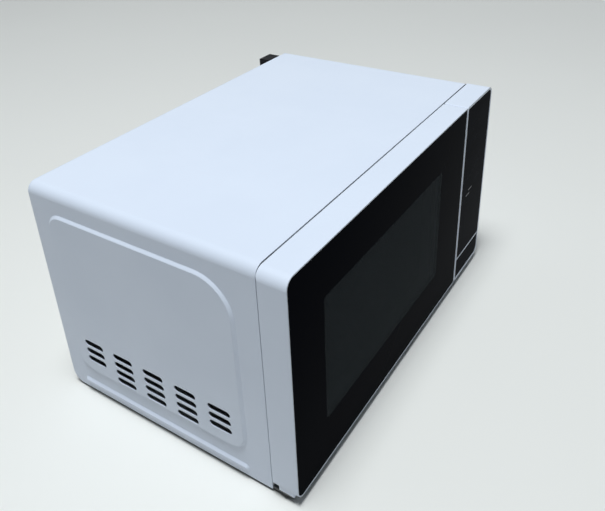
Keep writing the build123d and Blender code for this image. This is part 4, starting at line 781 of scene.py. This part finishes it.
def wind_spring(start: Vector, end: Vector, radius: float, wire: float, turns: int) -> bmesh.types.BMesh:
    """Winds a compression spring whose end turns lie closed.

    Args:
        start: Middle of one end.
        end: Middle of the other end.
        radius: Outer radius of the coil.
        wire: Radius of the wire.
        turns: Open turns between the two closed ones.

    Returns:
        The closed mesh.
    """
    along = (end - start).normalized()
    side = along.orthogonal().normalized()
    other = along.cross(side)
    closed = CLOSED_RISE * wire
    pitch = ((end - start).length - 2 * wire - 2 * closed) / turns
    rings = []
    for step in range((turns + 2) * WIRE_STEPS + 1):
        turn = step / WIRE_STEPS
        rise = closed * min(turn, 1.0) + pitch * min(max(turn - 1.0, 0.0), turns)
        rise += closed * max(turn - 1.0 - turns, 0.0)
        angle = 2 * math.pi * turn
        outward = side * math.cos(angle) + other * math.sin(angle)
        middle = start + along * (wire + rise) + outward * (radius - wire)
        ring = []
        for facet in range(WIRE_FACETS):
            tilt = 2 * math.pi * facet / WIRE_FACETS
            offset = outward * math.cos(tilt) + along * math.sin(tilt)
            ring.append(middle + offset * wire)
        rings.append(ring)
    mesh = bmesh.new()
    rows = [[mesh.verts.new(point) for point in ring] for ring in rings]
    for first, second in zip(rows, rows[1:]):
        for facet in range(WIRE_FACETS):
            following = (facet + 1) % WIRE_FACETS
            mesh.faces.new((first[facet], first[following], second[following], second[facet]))
    mesh.faces.new(rows[0])
    mesh.faces.new(rows[-1])
    return mesh


@dataclass(frozen=True)
class ReturnSpring:
    """A compression spring wound in its node's place."""

    name: str
    node: str
    body: str
    joint: str
    axis: int
    stroke: float
    wire: float
    turns: int = 5

    def build(self) -> None:
        """Winds the spring in its node's place and attaches it to its body."""
        low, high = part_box(self.node)
        start = (low + high) / 2
        end = start.copy()
        start[self.axis] = low[self.axis]
        end[self.axis] = high[self.axis]
        across = (self.axis + 1) % 3
        mesh = wind_spring(start, end, (high[across] - low[across]) / 2, self.wire, self.turns)
        spring = add_piece(self.name, mesh, Shelf.SPRING.value)
        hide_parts(self.node)
        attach(spring, self.body)
        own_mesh(spring)


def thicken(mesh: bmesh.types.BMesh, faces: list[bmesh.types.BMFace], depth: float) -> None:
    """Gives flat faces a thickness towards the back.

    Args:
        mesh: Mesh that they belong to.
        faces: Faces of the front.
        depth: Thickness.
    """
    moved = bmesh.ops.extrude_face_region(mesh, geom=faces)
    corners = [item for item in moved["geom"] if isinstance(item, bmesh.types.BMVert)]
    bmesh.ops.translate(mesh, vec=(0, depth, 0), verts=corners)


def rounded_bar(
    mesh: bmesh.types.BMesh, low: Vector, high: Vector, radius: float, steps: int = 6
) -> None:
    """Adds a flat bar with rounded ends, seen from the front.

    Args:
        mesh: Mesh to add to.
        low: Lowest corner.
        high: Highest corner.
        radius: Radius of its four corners.
        steps: Facets round each corner.
    """
    outline = []
    centres = (
        (high.x - radius, high.z - radius, 0.0),
        (low.x + radius, high.z - radius, 0.5),
        (low.x + radius, low.z + radius, 1.0),
        (high.x - radius, low.z + radius, 1.5),
    )
    for x, z, turn in centres:
        for step in range(steps + 1):
            angle = math.pi * (turn + 0.5 * step / steps)
            outline.append((x + radius * math.cos(angle), z + radius * math.sin(angle)))
    front = mesh.faces.new([mesh.verts.new((x, low.y, z)) for x, z in outline])
    thicken(mesh, [front], high.y - low.y)


# ---------------------------------------------------------------- sub-assemblies
@dataclass
class SubAssembly:
    """A group of CAD nodes with their finishes, and the fine pieces that belong to it."""

    finishes: dict[str, Finish] = field(default_factory=dict)

    def dress(self) -> None:
        """Gives each CAD node its finish."""
        for node, finish in self.finishes.items():
            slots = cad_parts[node].data.materials
            slots.clear()
            slots.append(finish.material())
            LOG.info("dressed %s in %s", node, finish.name)

    def build(self) -> None:
        """Makes the pieces that the CAD model leaves out, if there are any."""


@dataclass
class Casing(SubAssembly):
    """Painted wrap, rear panel, base, feet and what is screwed to them."""

    finishes: dict[str, Finish] = field(
        default_factory=lambda: {
            "outer_casing": Shelf.WHITE_STEEL.value,
            "rear_panel": Shelf.ZINC.value,
            "base_plate": Shelf.ZINC.value,
            "motor_cover": Shelf.ZINC.value,
            "feet": Shelf.RUBBER.value,
            "rear_spacer": Shelf.BLACK_PLASTIC.value,
            "screws": Shelf.SCREW.value,
            "cord_gland": Shelf.BLACK_PLASTIC.value,
            "hinge_lower": Shelf.BLACK_STEEL.value,
            "hinge_upper": Shelf.ZINC.value,
        }
    )


@dataclass
class OvenCavity(SubAssembly):
    """Front plate and enamelled cavity with its mica sheet."""

    finishes: dict[str, Finish] = field(
        default_factory=lambda: {
            "front_plate": Shelf.ENAMEL.value,
            "cavity": Shelf.ENAMEL.value,
            "waveguide_cover": Shelf.MICA.value,
            "lamp_holder": Shelf.ZINC.value,
            "oven_lamp": Shelf.LAMP_GLASS.value,
        }
    )


@dataclass
class Turntable(SubAssembly):
    """Motor, coupler, roller ring and the pressed glass tray."""

    finishes: dict[str, Finish] = field(
        default_factory=lambda: {
            "turntable_motor": Shelf.ZINC.value,
            "drive_coupler": Shelf.NYLON.value,
            "roller_ring": Shelf.NYLON.value,
            "roller_1": Shelf.NYLON.value,
            "roller_2": Shelf.NYLON.value,
            "roller_3": Shelf.NYLON.value,
        }
    )
    slope: float = 16 * MM
    rim: float = 3 * MM
    glass: float = 5 * MM
    rib_height: float = 0.8 * MM
    rib_half: float = 1.2 * MM
    rib_sink: float = 0.3
    rib_dip: float = 0.25 * MM
    rib_radii: tuple[float, ...] = (40 * MM, 52 * MM, 64 * MM)
    rim_flare: float = 2.4 * MM
    rim_lip: float = 1.6 * MM
    rim_round: float = 0.6 * MM
    well_reach: float = 1.2 * MM
    well_lift: float = 0.7 * MM
    facets: int = 120

    def build(self) -> None:
        """Makes the tray with its raised rim and pressed rings."""
        low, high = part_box("glass_tray")
        centre = Vector(((low.x + high.x) / 2, (low.y + high.y) / 2, low.z))
        mesh = lathe(self.profile((high.x - low.x) / 2, high.z - low.z), centre, self.facets)
        tray = add_piece("turntable_tray", mesh, Shelf.TRAY_GLASS.value)
        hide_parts("glass_tray")
        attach(tray, "glass_tray")

    def profile(self, radius: float, height: float) -> list[Limits]:
        """Returns the tray's section from its middle below, round the rim, to its middle above.

        Args:
            radius: Radius of the tray.
            height: Height of its rim over its underside.
        """
        half = self.rib_half
        sink = self.rib_height * self.rib_sink
        curve = self.rim_round
        points = [(0.0, 0.0)]
        for rib in self.rib_radii:
            points += [(rib - 2 * half, 0.0), (rib - half, -sink)]
            points += [(rib + half, -sink), (rib + 2 * half, 0.0)]
        points += [(radius - self.slope, 0.0), (radius - curve, height - self.rim_flare)]
        points += [(radius, height - self.rim_lip), (radius, height - curve)]
        points += [(radius - curve, height), (radius - self.rim + curve, height)]
        points += [(radius - self.rim, height - curve)]
        inner = radius - self.slope - self.rim / 2
        points += [(inner + self.well_reach, self.glass + self.well_lift), (inner, self.glass)]
        for rib in reversed(self.rib_radii):
            points += [(rib + half, self.glass), (rib, self.glass - self.rib_dip), (rib - half, self.glass)]
        return points + [(0.0, self.glass)]


@dataclass
class Door(SubAssembly):
    """Framed glass door with its screen, choke, inner cover and latch."""

    finishes: dict[str, Finish] = field(
        default_factory=lambda: {
            "door_frame": Shelf.WHITE_PLASTIC.value,
            "door_choke": Shelf.BLACK_STEEL.value,
            "door_inner_cover": Shelf.GREY_PLASTIC.value,
            "door_inner_film": Shelf.FILM.value,
            "door_latch": Shelf.NYLON.value,
        }
    )
    screen_margin: float = 5 * MM
    hole_pitch: float = 4.2 * MM
    hole_radius: float = 1.5 * MM
    screen_thickness: float = 0.6 * MM
    weld: float = 0.02 * MM

    def dress(self) -> None:
        """Adds the printed pane, whose window lies over the screen."""
        low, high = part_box("door_screen")
        pane = PrintedPane(
            "printed_pane",
            (0.003, 0.0035, 0.006),
            (0.034, 0.041, 0.045),
            (0.035, 0.09),
            specular=0.002,
            grain=30 * MM,
            depth=0.02 * MM,
            window_x=(low.x + self.screen_margin, high.x - self.screen_margin),
            window_z=(low.z + self.screen_margin, high.z - self.screen_margin),
        )
        self.finishes["door_glass"] = pane
        super().dress()

    def build(self) -> None:
        """Makes the screen with its real holes, and the latch's spring."""
        screen = add_piece("punched_screen", self.punched_sheet(), Shelf.BLACK_STEEL.value, smooth=False)
        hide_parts("door_screen")
        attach(screen, "door")
        ReturnSpring(
            "latch_return_spring", "latch_spring", "door", "latch_slide",
            axis=2, stroke=2.5 * MM, wire=0.4 * MM,
        ).build()

    def punched_sheet(self) -> bmesh.types.BMesh:
        """Returns a steel sheet with staggered rows of round holes inside a plain border."""
        low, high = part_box("door_screen")
        mesh = bmesh.new()
        room = 2 * self.screen_margin
        row_step = self.hole_pitch * math.sqrt(3) / 2
        columns = int((high.x - low.x - room) / self.hole_pitch - 0.5)
        rows = int((high.z - low.z - room) / row_step)
        left = (low.x + high.x - (columns + 0.5) * self.hole_pitch) / 2
        bottom = (low.z + high.z - rows * row_step) / 2
        half = self.hole_pitch / 2
        for row in range(rows):
            z = bottom + row * row_step
            first = left + half * (row % 2)
            for column in range(columns):
                self.add_cell(mesh, first + column * self.hole_pitch, z, row_step)
            spare = left if row % 2 else left + columns * self.hole_pitch
            for base in (z, z + row_step / 2):
                upright = (base, base + row_step / 2)
                self.add_sheet(mesh, (low.x, left), upright)
                self.add_sheet(mesh, (spare, spare + half), upright)
                self.add_sheet(mesh, (left + (2 * columns + 1) * half, high.x), upright)
        edges = [low.x] + [left + step * half for step in range(2 * columns + 2)] + [high.x]
        for start, end in zip(edges, edges[1:]):
            self.add_sheet(mesh, (start, end), (low.z, bottom))
            self.add_sheet(mesh, (start, end), (bottom + rows * row_step, high.z))
        bmesh.ops.remove_doubles(mesh, verts=mesh.verts, dist=self.weld)
        front = (low.y + high.y - self.screen_thickness) / 2
        bmesh.ops.translate(mesh, vec=(0, front, 0), verts=mesh.verts)
        thicken(mesh, list(mesh.faces), self.screen_thickness)
        return mesh

    def add_sheet(self, mesh: bmesh.types.BMesh, across: Limits, upright: Limits) -> None:
        """Adds one plain rectangle of sheet.

        Args:
            mesh: Mesh to add to.
            across: Its left and right edge.
            upright: Its lower and upper edge.
        """
        left, right = across
        bottom, top = upright
        corners = ((left, bottom), (right, bottom), (right, top), (left, top))
        mesh.faces.new([mesh.verts.new((x, 0, z)) for x, z in corners])

    def add_cell(self, mesh: bmesh.types.BMesh, x: float, z: float, height: float) -> None:
        """Adds the rectangle of sheet round one hole.

        Args:
            mesh: Mesh to add to.
            x: Left edge of the cell.
            z: Lower edge of the cell.
            height: Height of the cell.
        """
        centre_x = x + self.hole_pitch / 2
        centre_z = z + height / 2
        inner = []
        outer = []
        for step in range(HOLE_CORNERS):
            angle = 2 * math.pi * step / HOLE_CORNERS
            side = [round(math.sqrt(2) * part) for part in (math.cos(angle), math.sin(angle))]
            edge_x = x + self.hole_pitch / 2 * (1 + side[0])
            edge_z = z + height / 2 * (1 + side[1])
            outer.append(mesh.verts.new((edge_x, 0, edge_z)))
            hole_x = centre_x + self.hole_radius * math.cos(angle)
            hole_z = centre_z + self.hole_radius * math.sin(angle)
            inner.append(mesh.verts.new((hole_x, 0, hole_z)))
        for step in range(HOLE_CORNERS):
            following = (step + 1) % HOLE_CORNERS
            mesh.faces.new((inner[step], outer[step], outer[following], inner[following]))


@dataclass
class ControlSide(SubAssembly):
    """Housing, fascia, button and the electronics and latch works behind them."""

    finishes: dict[str, Finish] = field(
        default_factory=lambda: {
            "control_housing": Shelf.WHITE_PLASTIC.value,
            "control_fascia": Shelf.BLACK_GLOSS.value,
            "open_button": Shelf.BLACK_GLOSS.value,
            "control_board": Shelf.BOARD.value,
            "board_parts": Shelf.PARTS.value,
            "display_module": Shelf.DISPLAY.value,
            "release_lever": Shelf.NYLON.value,
            "latch_board": Shelf.NYLON.value,
            "door_switches": Shelf.PARTS.value,
            "switch_plunger_1": Shelf.NYLON.value,
            "switch_plunger_2": Shelf.NYLON.value,
            "switch_plunger_3": Shelf.NYLON.value,
        }
    )
    mark_length: float = 13 * MM
    mark_height: float = 1.4 * MM
    mark_step: tuple[float, float] = (8 * MM, 6 * MM)
    mark_place: tuple[float, float] = (0.33, 0.42)
    mark_rounding: float = 0.45
    print_depth: float = 0.1 * MM

    def build(self) -> None:
        """Makes the two short strokes printed on the fascia, and the button's spring."""
        low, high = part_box("control_fascia")
        across, upright = self.mark_place
        middle = Vector(
            (low.x + (high.x - low.x) * across, low.y, low.z + (high.z - low.z) * upright)
        )
        mesh = bmesh.new()
        for side in (-0.5, 0.5):
            x = middle.x + side * self.mark_step[0] - self.mark_length / 2
            corner = Vector((x, low.y - self.print_depth, middle.z + side * self.mark_step[1]))
            opposite = corner + Vector((self.mark_length, self.print_depth, self.mark_height))
            rounded_bar(mesh, corner, opposite, self.mark_height * self.mark_rounding)
        marks = add_piece("fascia_marks", mesh, Shelf.PRINT.value, smooth=False)
        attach(marks, "oven")
        ReturnSpring(
            "button_return_spring", "button_spring", "oven", "button_press",
            axis=1, stroke=4 * MM, wire=0.5 * MM,
        ).build()


@dataclass
class Works(SubAssembly):
    """Magnetron, transformer, fan and the other parts in the bay."""

    finishes: dict[str, Finish] = field(
        default_factory=lambda: {
            "waveguide": Shelf.ZINC.value,
            "magnetron_yoke": Shelf.ZINC.value,
            "magnetron_anode": Shelf.COPPER.value,
            "magnetron_antenna": Shelf.CERAMIC.value,
            "magnetron_filter_box": Shelf.ZINC.value,
            "transformer_core": Shelf.CORE.value,
            "transformer_windings": Shelf.WINDING.value,
            "hv_capacitor": Shelf.ALUMINIUM.value,
            "capacitor_clamp": Shelf.ZINC.value,
            "hv_diode": Shelf.PARTS.value,
            "fan_shroud": Shelf.GREY_PLASTIC.value,
            "fan_motor_core": Shelf.CORE.value,
            "fan_motor_coil": Shelf.WINDING.value,
            "fan_blade": Shelf.GREY_PLASTIC.value,
            "thermal_cutouts": Shelf.PARTS.value,
            "filter_board": Shelf.BOARD.value,
            "filter_parts": Shelf.PARTS.value,
        }
    )


# ---------------------------------------------------------------- studio
@dataclass
class Lamp:
    """A soft lamp that points at the oven: a square one nearby, or an even one from far off."""

    name: str
    place: Vector
    size: float
    power: float
    colour: Colour = (1.0, 1.0, 1.0)
    even: bool = False

    def build(self, target: Vector) -> None:
        """Adds the lamp.

        Args:
            target: Point that it shines at.
        """
        data = bpy.data.lights.new(self.name, "SUN" if self.even else "AREA")
        if self.even:
            data.angle = self.size
        else:
            data.size = self.size
        data.energy = self.power
        data.color = self.colour
        lamp = bpy.data.objects.new(self.name, data)
        lamp.location = self.place
        lamp.rotation_euler = (target - self.place).to_track_quat("-Z", "Y").to_euler()
        bpy.context.scene.collection.objects.link(lamp)


@dataclass
class Studio:
    """Pale floor, soft lamps, even surroundings and the camera."""

    floor_reach: float = 30.0
    floor_colour: Colour = (0.88, 0.87, 0.83)
    floor_shade: float = 0.985
    floor_bounce: Colour = (0.6, 0.6, 0.58)
    sky_colour: Colour = (0.82, 0.89, 1.0)
    sky_level: float = 0.085
    backdrop_colour: Colour = (0.58, 0.61, 0.61)
    overhead: Vector = field(default_factory=lambda: Vector((-0.45, -0.12, 2.6)))
    beside: Vector = field(default_factory=lambda: Vector((-2.2, -0.5, 0.9)))
    daylight: Colour = (0.91, 0.965, 1.0)
    eye: Vector = field(default_factory=lambda: Vector((-0.5878, -0.4293, 0.5992)))
    heading: float = 56.12
    tilt: float = 27.47
    roll: float = -2.32
    sensor: float = 36.0
    lens: float = 39.84
    drop: float = -0.1496

    def build(self) -> None:
        """Adds everything round the oven."""
        self.lay_floor()
        self.light_sky()
        target = (CAD_BOX[0] + CAD_BOX[1]) / 2
        lamps = (
            Lamp("ceiling_light", self.overhead, size=0.23, power=1.35, colour=self.daylight, even=True),
            Lamp("overhead_lamp", self.overhead, size=0.6, power=32.0, colour=self.daylight),
            Lamp("side_lamp", self.beside, size=1.6, power=0.8),
        )
        for lamp in lamps:
            lamp.build(target)
        self.set_camera()
        bpy.context.scene.view_settings.view_transform = "Standard"

    def lay_floor(self) -> None:
        """Adds the floor with its pale finish and its painted shade under and round the oven."""
        mesh = bmesh.new()
        bmesh.ops.create_grid(mesh, x_segments=1, y_segments=1, size=self.floor_reach)
        paint = FloorPaint(
            "pale_floor",
            self.floor_colour,
            tuple(self.floor_shade * part for part in self.floor_colour),
            (0.6, 0.7),
            specular=0.3,
            grain=3 * MM,
            depth=0.01 * MM,
            blotch=900 * MM,
            bounce=self.floor_bounce,
        )
        floor = add_piece("studio_floor", mesh, paint, smooth=False)

    def light_sky(self) -> None:
        """Sets the even light from all round, and the pale background that eyes and gloss see."""
        world = bpy.data.worlds.new("studio_sky")
        world.use_nodes = True
        nodes = world.node_tree.nodes
        links = world.node_tree.links
        shown = nodes.new("ShaderNodeMix")
        shown.data_type = "RGBA"
        shown.inputs[6].default_value = (*(self.sky_level * part for part in self.sky_colour), 1.0)
        shown.inputs[7].default_value = (*self.backdrop_colour, 1.0)
        links.new(seen_rays(world.node_tree), shown.inputs[0])
        links.new(shown.outputs[2], nodes["Background"].inputs["Color"])
        bpy.context.scene.world = world

    def set_camera(self) -> None:
        """Places the camera above the oven's left front corner."""
        heading, tilt, roll = (math.radians(angle) for angle in (self.heading, self.tilt, self.roll))
        ahead = Vector(
            (math.sin(heading) * math.cos(tilt), math.cos(heading) * math.cos(tilt), -math.sin(tilt))
        )
        level = ahead.cross(Vector((0, 0, 1))).normalized()
        upright = level.cross(ahead)
        across = level * math.cos(roll) + upright * math.sin(roll)
        above = upright * math.cos(roll) - level * math.sin(roll)
        data = bpy.data.cameras.new("camera")
        data.sensor_width = self.sensor
        data.lens = self.lens
        data.shift_y = self.drop
        camera = bpy.data.objects.new("camera", data)
        turned = Matrix((across, above, -ahead)).transposed().to_4x4()
        camera.matrix_world = Matrix.Translation(self.eye) @ turned
        bpy.context.scene.collection.objects.link(camera)
        bpy.context.scene.camera = camera


def main() -> None:
    logging.basicConfig(level=logging.INFO, format="%(name)s: %(message)s")
    for assembly in (Casing(), OvenCavity(), Turntable(), Door(), ControlSide(), Works()):
        assembly.dress()
        assembly.build()
    Studio().build()


if __name__ == "__main__":
    main()
